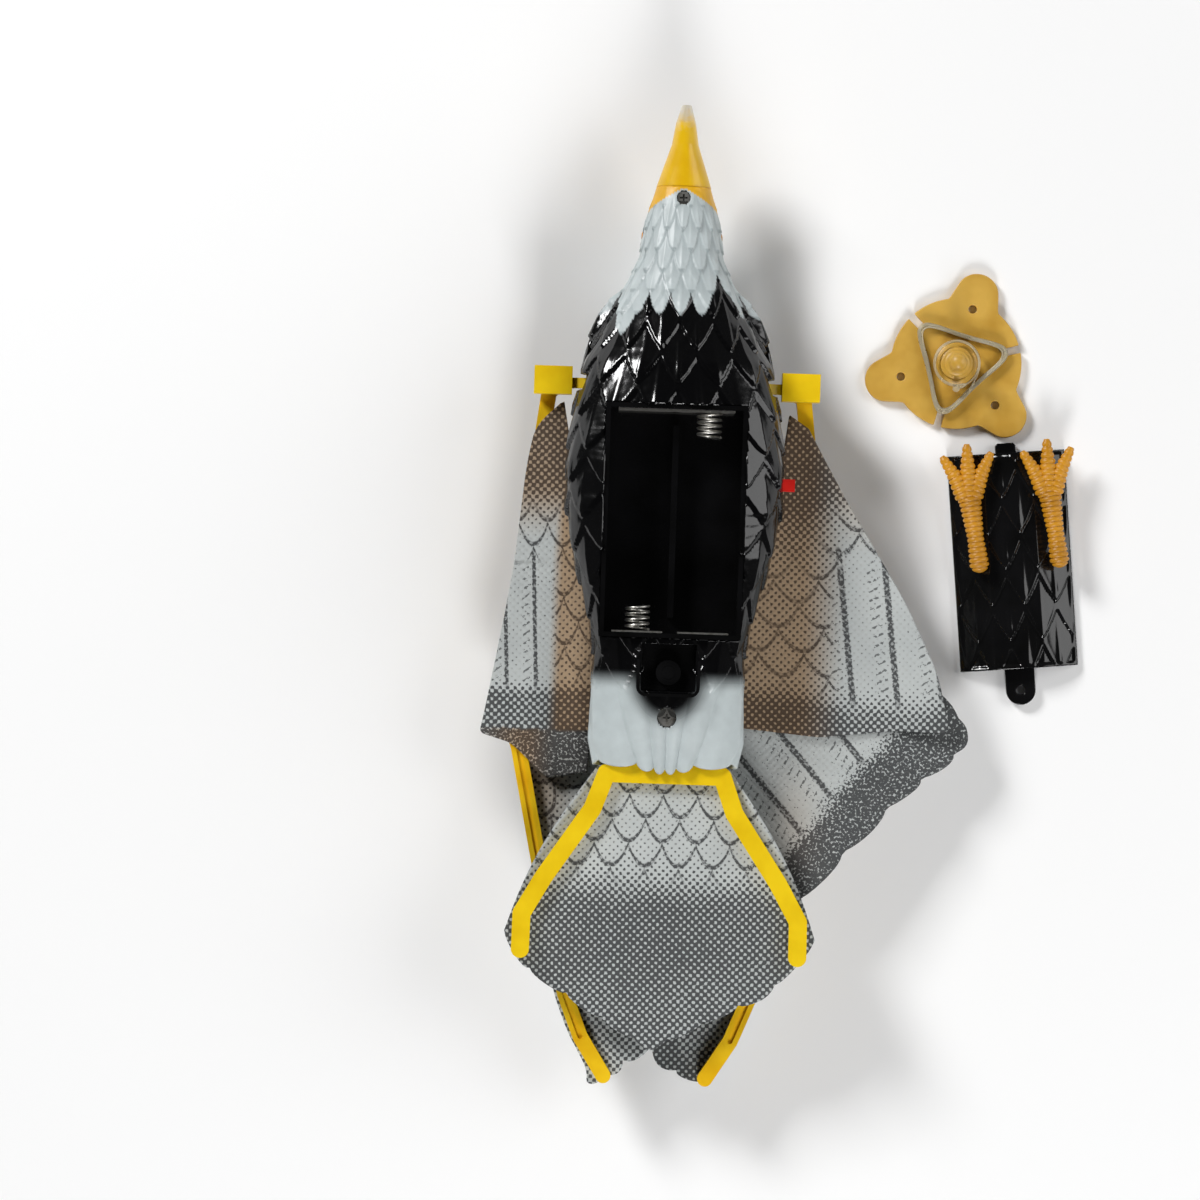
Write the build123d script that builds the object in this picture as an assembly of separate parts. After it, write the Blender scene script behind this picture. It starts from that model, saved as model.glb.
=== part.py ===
# Battery-powered flapping eagle that hangs on a line, lying on its back with its wings swept.
# Millimetres. +Z is the belly side, which faces up, +Y points to the beak, +X is the switch side.
# The origin is on the table, under the line between the two shoulder joints.
import math
import os

from build123d import *

os.makedirs("parts", exist_ok=True)

# ---- driving dimensions ----
WALL = 1.6                 # moulded wall of the body
SEAM_Z = 28.0              # where the belly half meets the back half
PIVOT_X, PIVOT_Z = 12.0, 27.0   # flapping pivot of each arm
ARM_Y0, ARM_Y1 = 1.0, 3.7  # width of the arms along the body
FLAP_DEG = 24.0            # full stroke of the arms
FOLD_X, FOLD_Y = 33.0, 2.5      # pin on which each wing spar swings
SPAR_Z0, SPAR_Z1 = 15.0, 18.4   # spar, between its two flat faces
SPAR_WIDTH = 4.0
CLOTH = 0.5                # sheet solids
TAIL_Z0, TAIL_Z1 = 29.8, 32.2
BAY_HALF, BAY_Y0, BAY_Y1 = 17.0, -61.9, -4.2   # inside of the bay for two AA cells
BAY_FLOOR, BAY_RIM = 30.5, 45.6
DOOR_CENTRE, DOOR_TURN = (90.3, -39.9), 5.6
BRACKET_CENTRE = (73.7, 11.6)
SWITCH_Z = 32.0
MODULE = 0.5               # gear teeth
CRANK_TEETH, REDUCER_PINION, REDUCER_TEETH, MOTOR_TEETH = 36, 9, 32, 8
REDUCER_X, REDUCER_Z = -5.0, 16.6
MOTOR_X, MOTOR_Z = 5.25, 15.4

# body sections from beak to rump: y, half width, back, belly
BODY = [
    (56.0, 6.6, 17.0, 29.8),
    (50.0, 8.3, 13.5, 31.6),
    (43.0, 10.2, 10.8, 34.0),
    (35.0, 11.2, 9.5, 35.5),
    (28.0, 14.6, 9.5, 37.5),
    (20.0, 18.6, 10.5, 40.5),
    (8.0, 24.4, 13.5, 44.5),
    (-4.0, 26.8, 16.5, 47.0),
    (-18.0, 28.5, 19.5, 48.5),
    (-30.0, 28.0, 21.5, 49.0),
    (-42.0, 25.8, 22.0, 48.5),
    (-55.0, 22.2, 22.5, 46.5),
    (-66.0, 19.7, 23.0, 44.0),
    (-78.0, 20.2, 24.5, 40.0),
    (-90.0, 20.5, 25.5, 36.5),
    (-96.0, 19.0, 26.0, 34.5),
]
# hump that holds the drive, as plan sections: z, half width, half length
HUMP_Y = -2.0
HUMP = [(26.0, 25.0, 32.0), (10.0, 22.0, 29.5), (3.0, 18.5, 26.5), (0.0, 15.0, 23.0)]


# ---- shapes that several pieces share ----
def block(x0, x1, y0, y1, z0, z1):
    return Pos((x0 + x1) / 2, (y0 + y1) / 2, (z0 + z1) / 2) * Box(x1 - x0, y1 - y0, z1 - z0)


def rod_z(x, y, radius, z0, z1):
    return Pos(x, y, (z0 + z1) / 2) * Cylinder(radius, z1 - z0)


def rod_y(x, z, radius, y0, y1):
    return Pos(x, (y0 + y1) / 2, z) * Rot(90, 0, 0) * Cylinder(radius, y1 - y0)


def plate(points, z0, z1):
    outline = Wire.make_polygon([Vector(x, y, z0) for x, y in points])
    return Part(extrude(Face(outline), amount=z1 - z0, dir=(0, 0, 1)).solids())


def slice_y(points, y0, y1):
    outline = Wire.make_polygon([Vector(x, y0, z) for x, z in points])
    return Part(extrude(Face(outline), amount=y1 - y0, dir=(0, 1, 0)).solids())


def rounded(half_a, half_b, power, count=20):
    """Points round a superellipse."""
    ring = []
    for i in range(count):
        c, s = math.cos(math.tau * i / count), math.sin(math.tau * i / count)
        a = half_a * math.copysign(abs(c) ** (2 / power), c)
        b = half_b * math.copysign(abs(s) ** (2 / power), s)
        ring.append((a, b))
    return ring


def ring_wire(points):
    return Wire([Edge.make_spline([Vector(*p) for p in points], periodic=True)])


def body_loft(shrink):
    wires = []
    for y, half, back, belly in BODY:
        middle, tall = (back + belly) / 2, (belly - back) / 2
        ring = rounded(half - shrink, tall - shrink, 2.4)
        wires.append(ring_wire([(x, y, middle + z) for x, z in ring]))
    return Part([Solid.make_loft(wires, True)])


def hump_loft(shrink):
    wires = []
    for z, half, length in HUMP:
        ring = rounded(half - shrink, length - shrink, 2.8)
        wires.append(ring_wire([(x, HUMP_Y + y, max(z, shrink)) for x, y in ring]))
    return Part([Solid.make_loft(wires, True)])


def mirrored(points):
    return [(-x, y) for x, y in points]


def strip(points, width, z0, z1):
    """A flat bar along a line of points, with round corners and ends."""
    bar = rod_z(*points[0], width / 2, z0, z1)
    for (x0, y0), (x1, y1) in zip(points, points[1:]):
        length, turn = math.hypot(x1 - x0, y1 - y0), math.degrees(math.atan2(y1 - y0, x1 - x0))
        middle = Pos((x0 + x1) / 2, (y0 + y1) / 2, (z0 + z1) / 2) * Rot(0, 0, turn)
        bar += middle * Box(length, width, z1 - z0)
        bar += rod_z(x1, y1, width / 2, z0, z1)
    return bar


def toothed(x, z, teeth, y0, y1, phase=0.0):
    """A spur gear with its axis along Y."""
    pitch = MODULE * teeth / 2
    root, tip = pitch - 0.55, pitch + 0.13
    points = []
    for i in range(teeth):
        for share, radius in ((-0.30, root), (-0.14, tip), (0.14, tip), (0.30, root)):
            a = math.tau * (i + share + phase) / teeth
            points.append((x + radius * math.cos(a), z + radius * math.sin(a)))
    return slice_y(points, y0, y1)


def save(name, shape):
    export_step(shape, f"parts/{name}.step")


# ---- body halves ----
outer = body_loft(0) + hump_loft(0)
inner = body_loft(WALL) + hump_loft(WALL)
shell = outer - inner
shell -= block(-20, 20, 54.0, 60, 0, 60)
shell -= block(-17.6, 17.6, -100, -94.5, 28.5, 32.6)
for side in (-1, 1):
    shell -= block(side * 22 - 8, side * 22 + 8, ARM_Y0 - 0.9, ARM_Y1 + 0.9, 18.5, 34.5)
shell -= block(24, 32, -26.2, -18.4, SWITCH_Z - 1.9, SWITCH_Z + 1.9)
bay_room = block(-18.3, 18.3, BAY_Y0 - 1.3, BAY_Y1 + 1.3, SEAM_Z + 1, 60)
latch_room = block(-7, 7, -77, -64.5, 37.5, 60)
shell_screws = [(51.0, 29.4, 1.6), (-83.7, 36.2, 2.3)]   # y, seat, head radius

belly = shell & block(-40, 40, -110, 70, SEAM_Z, 60)
belly += block(-7.9, 7.9, -77.9, -63.6, 36.3, 50) & outer
belly -= bay_room
belly -= latch_room
belly += rod_z(0, -72, 2.8, 37.5, 39.6)
belly -= rod_z(0, -72, 1.1, 30, 45)
for y, top, head in shell_screws:
    belly += rod_z(0, y, head + 0.9, SEAM_Z, top) & outer
    belly -= rod_z(0, y, head + 0.2, top - 0.4, 60)
    belly -= rod_z(0, y, 1.2, SEAM_Z - 1, 60)
save("belly_shell", belly)

back = shell & block(-40, 40, -110, 70, -1, SEAM_Z)
for y, top, head in shell_screws:
    back += rod_z(0, y, head + 0.7, 15, SEAM_Z) & outer
    back -= rod_z(0, y, 1.0, SEAM_Z - 5, SEAM_Z + 1)
back += rod_z(0, -72, 4.2, 21.3, 25.6)
back -= rod_z(0, -72, 1.0, 21, 24.6)
save("back_shell", back)

screws = []
for y, top, head in shell_screws:
    screw = rod_z(0, y, head, top - 0.4, top + 0.9) + rod_z(0, y, 0.95, SEAM_Z - 4.6, top)
    screw -= block(-1.0, 1.0, y - 0.25, y + 0.25, top + 0.3, top + 2)
    screw -= block(-0.25, 0.25, y - 1.0, y + 1.0, top + 0.3, top + 2)
    screws.append(screw)
save("shell_screws", Compound(children=[s.solids()[0] for s in screws]))

# ---- beak: one solid moulding, clamped in the front of the halves ----
beak_rings = [
    (48.0, 4.6, 18.8, 27.0),
    (53.9, 4.6, 18.8, 27.0),
    (54.1, 7.1, 16.8, 30.2),
    (59.0, 5.5, 17.2, 30.2),
    (65.0, 3.5, 19.0, 30.6),
    (70.5, 2.6, 21.5, 32.0),
    (74.6, 1.3, 27.0, 35.5),
]
beak_wires = []
for y, half, low, high in beak_rings:
    ring = rounded(half, (high - low) / 2, 2.2, 14)
    beak_wires.append(ring_wire([(x, y, (low + high) / 2 + z) for x, z in ring]))
beak = Part([Solid.make_loft(beak_wires, True)]) - rod_z(0, shell_screws[0][0], 2.8, 10, 40)
save("beak", beak)

# ---- battery bay: tray, contact plates and springs ----
tray = block(-BAY_HALF - 1.2, BAY_HALF + 1.2, BAY_Y0 - 1.2, BAY_Y1 + 1.2, BAY_FLOOR - 1.2, BAY_RIM)
tray -= block(-BAY_HALF, BAY_HALF, BAY_Y0, BAY_Y1, BAY_FLOOR, 60)
tray += block(-0.8, 0.8, BAY_Y0 + 4, BAY_Y1 - 4, BAY_FLOOR, BAY_FLOOR + 5.5)
save("battery_tray", tray)

plates = [
    block(-15, 15, BAY_Y1 - 0.45, BAY_Y1 - 0.05, BAY_FLOOR + 0.5, BAY_RIM - 2),
    block(-15, -2, BAY_Y0 + 0.05, BAY_Y0 + 0.45, BAY_FLOOR + 0.5, BAY_RIM - 2),
    block(2, 15, BAY_Y0 + 0.05, BAY_Y0 + 0.45, BAY_FLOOR + 0.5, BAY_RIM - 2),
]
save("battery_contacts", Compound(children=[p.solids()[0] for p in plates]))

springs = []
for x, start, way in ((8.5, BAY_Y1 - 0.5, -1), (-8.5, BAY_Y0 + 0.5, 1)):
    helix = Helix(pitch=1.5, height=6.0, radius=3.0, center=(0, 0, 0), direction=(0, 0, 1))
    wire_end = Plane(origin=helix @ 0, z_dir=helix % 0) * Circle(0.3)
    coil = sweep(wire_end, path=helix)
    springs.append(Pos(x, start + way * 0.35, BAY_FLOOR + 7.2) * Rot(-90 * way, 0, 0) * coil)
save("battery_springs", Compound(children=[s.solids()[0] for s in springs]))

# ---- switch: housing inside the wall, slider through it ----
housing = block(18.6, 24.8, -28.5, -16.5, SWITCH_Z - 3, SWITCH_Z + 3)
housing -= block(19.5, 25.0, -27.3, -17.7, SWITCH_Z - 1.8, SWITCH_Z + 1.8)
save("switch_housing", housing)
slider = block(19.7, 23.9, -25.0, -20.4, SWITCH_Z - 1.6, SWITCH_Z + 1.6)
slider += block(23.8, 31.2, -24.3, -21.1, SWITCH_Z - 1.3, SWITCH_Z + 1.3)
save("switch_slider", slider)

# ---- drive: motor, reduction gear, crank and the frame that holds them ----
motor = rod_y(MOTOR_X, MOTOR_Z, 9.0, -24.6, -4.6)
motor &= block(MOTOR_X - 9, MOTOR_X + 9, -30, 0, MOTOR_Z - 6.7, MOTOR_Z + 6.7)
motor += rod_y(MOTOR_X, MOTOR_Z, 3.0, -26.0, -24.6)
motor -= rod_y(MOTOR_X, MOTOR_Z, 1.0, -8.0, 0)
save("motor", motor)
rotor = rod_y(MOTOR_X, MOTOR_Z, 0.95, -7.8, -3.8)
rotor += toothed(MOTOR_X, MOTOR_Z, MOTOR_TEETH, -3.8, -1.5)
save("motor_pinion", rotor)

reducer = toothed(REDUCER_X, REDUCER_Z, REDUCER_TEETH, -3.4, -1.7, 0.5)
reducer += rod_y(REDUCER_X, REDUCER_Z, 1.6, -1.8, 6.0)
reducer += toothed(REDUCER_X, REDUCER_Z, REDUCER_PINION, 5.9, 8.9)
reducer -= rod_y(REDUCER_X, REDUCER_Z, 0.85, -6, 12)
save("reduction_gear", reducer)
save("reduction_axle", rod_y(REDUCER_X, REDUCER_Z, 0.8, -4.5, 10.9))

crank_radius = PIVOT_X * math.sin(math.radians(FLAP_DEG / 2))
crank = toothed(0, PIVOT_Z, CRANK_TEETH, 6.2, 8.6)
crank += rod_y(0, PIVOT_Z, 1.5, 8.5, 12.0)
crank += rod_y(0, PIVOT_Z + crank_radius, 1.0, 0.4, 6.3)
save("crank_gear", crank)

frame_front = block(-15.5, 15.5, 9.5, 10.7, 9.5, 33.0)
frame_front -= rod_y(0, PIVOT_Z, 1.55, 9, 11)
frame_front -= rod_y(REDUCER_X, REDUCER_Z, 0.85, 9, 11)
frame_middle = block(-15.5, 15.5, -1.3, -0.3, 9.5, 33.0)
frame_middle -= rod_y(REDUCER_X, REDUCER_Z, 3.2, -2, 0)
frame_rear = block(-15.5, 15.5, -4.6, -3.9, 9.5, 28.0)
frame_rear -= rod_y(MOTOR_X, MOTOR_Z, 2.7, -5, -3)
frame_rear -= rod_y(REDUCER_X, REDUCER_Z, 0.85, -5, -3)
frame = frame_front + frame_middle + frame_rear
for x in (-14.0, 14.0):
    frame += rod_y(x, 11.0, 1.4, -4.0, 9.6)
    frame += rod_y(x, 31.6, 1.2, -0.4, 9.6)
    frame -= rod_y(math.copysign(PIVOT_X, x), PIVOT_Z, 1.05, -2, 12)
save("gear_frame", frame)
pins = [rod_y(side * PIVOT_X, PIVOT_Z, 1.0, -1.3, 10.7) for side in (-1, 1)]
save("arm_pivots", Compound(children=[p.solids()[0] for p in pins]))


# ---- flapping arms: fork on the crank pin, hub, bar and the block that holds the wing ----
def turned(x, z, degrees, reach):
    a = math.radians(degrees)
    return (x + reach * math.cos(a), z + reach * math.sin(a))


def bar_between(start, end, width, y0, y1):
    (x0, z0), (x1, z1) = start, end
    length = math.hypot(x1 - x0, z1 - z0)
    nx, nz = -(z1 - z0) / length * width / 2, (x1 - x0) / length * width / 2
    return slice_y([(x0 + nx, z0 + nz), (x1 + nx, z1 + nz), (x1 - nx, z1 - nz), (x0 - nx, z0 - nz)], y0, y1)


def arm(fork_y0, fork_y1):
    """The arm on the -X side, at the end of its stroke nearest the back."""
    hub = (-PIVOT_X, PIVOT_Z)
    lever = FLAP_DEG / 2
    shape = rod_y(*hub, 2.4, ARM_Y0, ARM_Y1)
    shape += bar_between(hub, turned(*hub, lever, 16.0), 5.8, fork_y0, fork_y1)
    shape += bar_between(hub, (-28.0, 22.4), 3.0, ARM_Y0, ARM_Y1)
    shape -= bar_between(turned(*hub, lever, 8.4), turned(*hub, lever, 20.0), 3.8, 0, 6)
    shape -= rod_y(*hub, 1.05, 0, 6)
    head = block(-37.2, -27.3, -0.7, 6.6, 18.8, 26.0)
    head -= rod_z(-FOLD_X, FOLD_Y, 1.2, 18, 23.5)
    return shape + head


arm_left = arm(ARM_Y0, ARM_Y0 + 1.25)
arm_right = mirror(arm(ARM_Y1 - 1.25, ARM_Y1), about=Plane.YZ)
save("arm_left", arm_left)
save("arm_right", arm_right)

for name, side in (("left", -1), ("right", 1)):
    pin = rod_z(side * FOLD_X, FOLD_Y, 1.2, 14.5, 23.5)
    pin += rod_z(side * FOLD_X, FOLD_Y, 2.6, 13.9, 14.6)
    save(f"fold_pin_{name}", pin)

# ---- wing spars: one grooved moulding each, bent at the wrist ----
spar_line = [
    (-FOLD_X, FOLD_Y),
    (-36.0, -22.0),
    (-38.8, -48.0),
    (-42.6, -72.0),
    (-42.4, -81.0),
    (-38.2, -93.0),
    (-32.6, -119.5),
    (-28.6, -138.0),
    (-24.0, -157.0),
    (-19.6, -168.0),
    (-13.3, -178.0),
]
spar = strip(spar_line, SPAR_WIDTH, SPAR_Z0, SPAR_Z1)
spar += rod_z(-FOLD_X, FOLD_Y, 3.8, SPAR_Z0, SPAR_Z1)
spar -= rod_z(-FOLD_X, FOLD_Y, 1.25, 10, 20)
spar -= strip(spar_line[1:-1], 1.3, SPAR_Z1 - 0.8, SPAR_Z1 + 1)
save("spar_left", spar)
save("spar_right", mirror(spar, about=Plane.YZ))

# ---- printed sheets, as thin plates ----
left_sheet = [
    (-36.5, -14.0),
    (-38.0, -42.0),
    (-44.0, -72.0),
    (-44.0, -82.0),
    (-36.0, -112.0),
    (-28.4, -154.0),
    (-24.6, -173.0),
    (-19.0, -179.0),
    (-8.4, -177.0),
    (0.0, -172.0),
    (14.0, -160.0),
    (38.5, -126.0),
    (60.0, -103.0),
    (77.0, -90.0),
    (80.0, -83.0),
    (44.0, -50.0),
    (-28.0, -42.0),
    (-31.5, -14.0),
]
right_sheet = [
    (36.5, -14.0),
    (38.0, -42.0),
    (44.0, -72.0),
    (44.0, -82.0),
    (36.0, -112.0),
    (28.4, -154.0),
    (24.3, -170.0),
    (15.8, -177.5),
    (6.7, -178.0),
    (-4.0, -168.0),
    (-20.0, -145.0),
    (-30.0, -125.0),
    (-38.0, -104.0),
    (-42.0, -80.0),
    (-38.0, -50.0),
    (28.0, -42.0),
    (31.5, -14.0),
]
save("wing_sheet_left", plate(left_sheet, SPAR_Z1 + 0.4, SPAR_Z1 + 0.4 + CLOTH))
save("wing_sheet_right", plate(right_sheet, SPAR_Z0 - 0.3 - CLOTH, SPAR_Z0 - 0.3))

side_left = [(-29.2, -3.0), (-33.0, -8.0), (-38.5, -32.0), (-40.5, -60.0), (-46.0, -92.0), (-21.0, -101.0)]
side_left += [(-20.0, -42.0), (-29.2, -38.0)]
side_right = [(29.2, -3.0), (34.0, -8.0), (51.0, -34.0), (72.0, -69.0), (78.0, -84.0), (20.0, -86.0)]
side_right += [(20.0, -42.0), (29.2, -38.0)]
save("side_sheet_left", plate(side_left, 19.7, 19.7 + CLOTH))
save("side_sheet_right", plate(side_right, 19.7, 19.7 + CLOTH))
back_sheet = plate([(-19, -37), (19, -37), (19, -90), (-19, -90)], 20.6, 20.6 + CLOTH)
save("back_sheet", back_sheet - rod_z(0, -72, 1.3, 20, 22))
sheet_screw = rod_z(0, -72, 4.0, 19.9, 20.5) + rod_z(0, -72, 0.95, 20.4, 24.4)
save("sheet_screw", sheet_screw)

# ---- tail: frame clamped between the halves, sheet under it ----
tail_half = [(0.0, -98.6), (15.0, -98.6), (18.4, -108.0), (30.4, -126.0), (35.8, -135.6), (35.9, -144.8)]
tail_line = mirrored(tail_half[:0:-1]) + tail_half
tail = strip(tail_line, 4.7, TAIL_Z0, TAIL_Z1)
tail += block(-11, 11, -98.6, -89.5, TAIL_Z0, TAIL_Z1) & body_loft(WALL + 0.2)
tail += block(-9, 9, -99, -93.5, TAIL_Z0, TAIL_Z1)
tail -= rod_z(0, shell_screws[1][0], 3.4, 20, 40)
save("tail_frame", tail)
tail_sheet = [
    (-19.0, -97.5),
    (-29.0, -112.0),
    (-39.6, -130.0),
    (-41.0, -141.0),
    (-33.0, -150.5),
    (-19.5, -159.0),
    (0.0, -171.5),
    (18.0, -160.0),
    (29.0, -155.5),
    (39.0, -148.0),
    (41.5, -141.0),
    (36.5, -126.0),
    (24.0, -106.0),
    (17.5, -97.5),
]
save("tail_sheet", plate(tail_sheet, TAIL_Z0 - 0.1 - CLOTH, TAIL_Z0 - 0.1))

# ---- battery door with the two feet, lying beside the bird ----
door_place = Pos(*DOOR_CENTRE, 0) * Rot(0, 0, DOOR_TURN)
arch = []
for i in range(13):
    x = -15.6 + 31.2 * i / 12
    arch.append((x, 6.0 - 29.9 + math.sqrt(29.9**2 - x**2)))
under = [(x * 0.93, z - 1.5) for x, z in reversed(arch)]
under[0] = (14.5, 0.0)
under[-1] = (-14.5, 0.0)
arch[0] = (-15.6, 0.0)
arch[-1] = (15.6, 0.0)
door = slice_y(arch, -28.6, 28.6) - slice_y(under, -27.2, 27.2)
door += block(-2.6, 2.6, 28.4, 31.0, 0.6, 2.4)
door += block(-3.9, 3.9, -34.2, -28.4, 0.0, 2.2) + rod_z(0, -34.2, 3.9, 0.0, 2.2)
door -= rod_z(0, -34.2, 1.3, -1, 4)
door_holes = [(-9.1, -0.6), (12.0, -0.6)]
for x, y in door_holes:
    door -= rod_z(x, y, 1.3, -1, 10)
save("battery_door", door_place * door)
for name, x, y in (("left", *door_holes[0]), ("right", *door_holes[1])):
    lean = -0.1
    ankle = (x + lean * 16, y + 17.0)
    toes = [(ankle[0] - 6.8, ankle[1] + 12.5), (ankle[0] + 0.2, ankle[1] + 15.4), (ankle[0] + 6.9, ankle[1] + 12.8)]
    foot = strip([(x, y), ankle], 4.4, 6.0, 9.3)
    for toe in toes:
        foot += strip([ankle, toe], 3.4, 6.2, 8.8)
    foot += rod_z(x, y, 1.28, 3.4, 6.1)
    save(f"foot_{name}", door_place * foot)

# ---- ceiling bracket with the line wound on it ----
bracket = rod_z(0, 0, 15.6, 0, 2.0)
for angle in (75, 195, 315):
    x, y = 18.7 * math.cos(math.radians(angle)), 18.7 * math.sin(math.radians(angle))
    bracket += rod_z(x, y, 5.7, 0, 2.0)
    for spread in (-24, 24):
        a = math.radians(angle + spread)
        bracket += rod_z(13.4 * math.cos(a), 13.4 * math.sin(a), 5.2, 0, 2.0)
for angle in (75, 195, 315):
    a = math.radians(angle)
    bracket -= rod_z(15.0 * math.cos(a), 15.0 * math.sin(a), 1.15, -1, 3)
notches = [15, 135, 255]
for angle in notches:
    bracket -= Rot(0, 0, angle) * block(12.4, 26, -1.25, 1.25, -1, 3)
bracket += rod_z(0, 0, 5.4, 1.9, 3.8)
bracket += Pos(0, 0, 6.9) * Cone(3.9, 1.9, 6.4)
bracket += Pos(0, 0, 11.2) * Sphere(2.3)
bracket_place = Pos(*BRACKET_CENTRE, 0)
save("ceiling_bracket", bracket_place * bracket)


def triangle(reach):
    return [(reach * math.cos(math.radians(a)), reach * math.sin(math.radians(a))) for a in notches]


winding = plate(triangle(15.2), 2.05, 4.6) - plate(triangle(11.7), 1, 6)
save("line_winding", bracket_place * winding)
knot = Pos(0, 0, 0) * rod_z(0, -6.7, 0.9, 4.62, 6.2)
save("line_knot", bracket_place * knot)
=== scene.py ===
import math
import random

import bmesh
import bpy
import numpy as np
from mathutils import Matrix, Vector


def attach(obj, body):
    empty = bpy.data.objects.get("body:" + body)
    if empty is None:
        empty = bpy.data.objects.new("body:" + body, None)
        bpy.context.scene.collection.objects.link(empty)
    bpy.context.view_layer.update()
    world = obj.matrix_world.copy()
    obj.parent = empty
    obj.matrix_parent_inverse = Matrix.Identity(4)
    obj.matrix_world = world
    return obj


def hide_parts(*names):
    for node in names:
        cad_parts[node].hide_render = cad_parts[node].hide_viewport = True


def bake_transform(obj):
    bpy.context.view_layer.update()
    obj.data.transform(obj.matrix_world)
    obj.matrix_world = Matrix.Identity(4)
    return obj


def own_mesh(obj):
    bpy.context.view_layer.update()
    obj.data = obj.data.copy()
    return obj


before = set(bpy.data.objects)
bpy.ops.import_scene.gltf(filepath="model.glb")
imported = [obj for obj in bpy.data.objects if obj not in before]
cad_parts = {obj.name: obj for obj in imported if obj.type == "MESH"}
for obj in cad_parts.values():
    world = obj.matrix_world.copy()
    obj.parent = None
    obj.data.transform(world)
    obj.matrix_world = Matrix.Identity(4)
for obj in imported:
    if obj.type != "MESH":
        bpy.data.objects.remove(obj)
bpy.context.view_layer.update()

MM = 0.001
scene = bpy.context.scene
scene.view_settings.view_transform = "Standard"


# ---- Camera ----
# Straight down on the bird as it lies on its back, from far enough for almost no perspective. The bird's
# axis leans a little in the frame.
VIEW_WIDTH = 0.312
VIEW_CENTRE = Vector((-0.0182, -0.0539, 0.025))
VIEW_HEIGHT = 1.5
VIEW_UP = Vector((-0.0335, 0.9994, 0.0))

camera_data = bpy.data.cameras.new("camera")
camera_data.sensor_width = 36.0
camera_data.lens = 36.0 * VIEW_HEIGHT / VIEW_WIDTH
camera = bpy.data.objects.new("camera", camera_data)
camera_side = VIEW_UP.cross(Vector((0, 0, 1)))
camera_turn = Matrix((camera_side, VIEW_UP, Vector((0, 0, 1)))).transposed().to_4x4()
camera.matrix_world = Matrix.Translation(VIEW_CENTRE + Vector((0, 0, VIEW_HEIGHT))) @ camera_turn
scene.collection.objects.link(camera)
scene.camera = camera


# ---- Ceiling bracket and its line ----
# The bracket is one tan polypropylene moulding, satin from the tool, with three petals, nail holes and a
# stepped hub. Clear nylon monofilament is wound from notch to notch over its face and tied off at the hub.
def linear(code):
    """sRGB hex to linear RGBA."""
    parts = [int(code[i : i + 2], 16) / 255 for i in (1, 3, 5)]
    return [c / 12.92 if c <= 0.04045 else ((c + 0.055) / 1.055) ** 2.4 for c in parts] + [1.0]


def add_node(tree, kind, settings=None, links=None):
    """Adds a node, sets its fields or its sockets, and links sockets to its inputs."""
    node = tree.nodes.new(kind)
    for key, value in (settings or {}).items():
        if isinstance(key, str) and hasattr(node, key):
            setattr(node, key, value)
        else:
            node.inputs[key].default_value = value
    for key, socket in (links or {}).items():
        tree.links.new(socket, node.inputs[key])
    return node


def place_in_scene(name, data):
    piece = bpy.data.objects.new(name, data)
    scene.collection.objects.link(piece)
    return piece


def mesh_piece(name, work, place=Matrix()):
    """Ends a bmesh as an object at the origin, with its place in its mesh."""
    mesh = bpy.data.meshes.new(name)
    work.to_mesh(mesh)
    work.free()
    mesh.transform(place)
    return place_in_scene(name, mesh)


def new_material(name):
    material = bpy.data.materials.new(name)
    material.use_nodes = True
    return material, material.node_tree, material.node_tree.nodes["Principled BSDF"]


def moulded_plastic(name, colour, shade, roughness, grain_mm=0.9, depth=0.06, subsurface=0.0):
    """Injection-moulded plastic: slight flow marks in the colour, uneven gloss and a fine tool texture."""
    material, tree, shader = new_material(name)
    place = add_node(tree, "ShaderNodeTexCoord").outputs["Object"]
    flow = add_node(tree, "ShaderNodeTexNoise", {"Scale": 90.0, "Detail": 3.0}, {"Vector": place})
    tint = add_node(tree, "ShaderNodeValToRGB", links={"Fac": flow.outputs["Fac"]})
    tint.color_ramp.elements[0].color = linear(shade)
    tint.color_ramp.elements[0].position = 0.3
    tint.color_ramp.elements[1].color = linear(colour)
    tint.color_ramp.elements[1].position = 0.6
    tree.links.new(tint.outputs["Color"], shader.inputs["Base Color"])
    gloss = add_node(tree, "ShaderNodeMapRange", {3: roughness * 0.8, 4: roughness * 1.3},
                     {0: flow.outputs["Fac"]})
    tree.links.new(gloss.outputs[0], shader.inputs["Roughness"])
    grain = add_node(tree, "ShaderNodeTexNoise", {"Scale": 1000.0 / grain_mm, "Detail": 2.0},
                     {"Vector": place})
    bump = add_node(tree, "ShaderNodeBump", {"Strength": 0.25, "Distance": depth * MM},
                    {"Height": grain.outputs["Fac"]})
    tree.links.new(bump.outputs["Normal"], shader.inputs["Normal"])
    shader.inputs["IOR"].default_value = 1.49
    shader.inputs["Subsurface Weight"].default_value = subsurface
    shader.inputs["Subsurface Radius"].default_value = (0.004, 0.003, 0.001)
    return material


def finish_node(node, material):
    """Gives a CAD node its finish."""
    for material_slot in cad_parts[node].material_slots:
        material_slot.material = material


tan_polypropylene = moulded_plastic("satin polypropylene, tan", "#D2A84B", "#B98D33", 0.38, subsurface=0.15)
BRACKET = Vector((0.0737, 0.0116, 0.0))
PLATE = 2.0                   # millimetres, as are the sizes below
PLATE_REACH = 17.0            # from the hub to the edge between petals
PETALS = (75, 195, 315)       # degrees
PETAL_REACH, PETAL_ROUND = 18.6, 5.8
NAIL_REACH, NAIL_HOLE = 15.0, 1.35
NOTCH, NOTCH_HALF, NOTCH_FLOOR = 15, 1.25, 12.4

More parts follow.
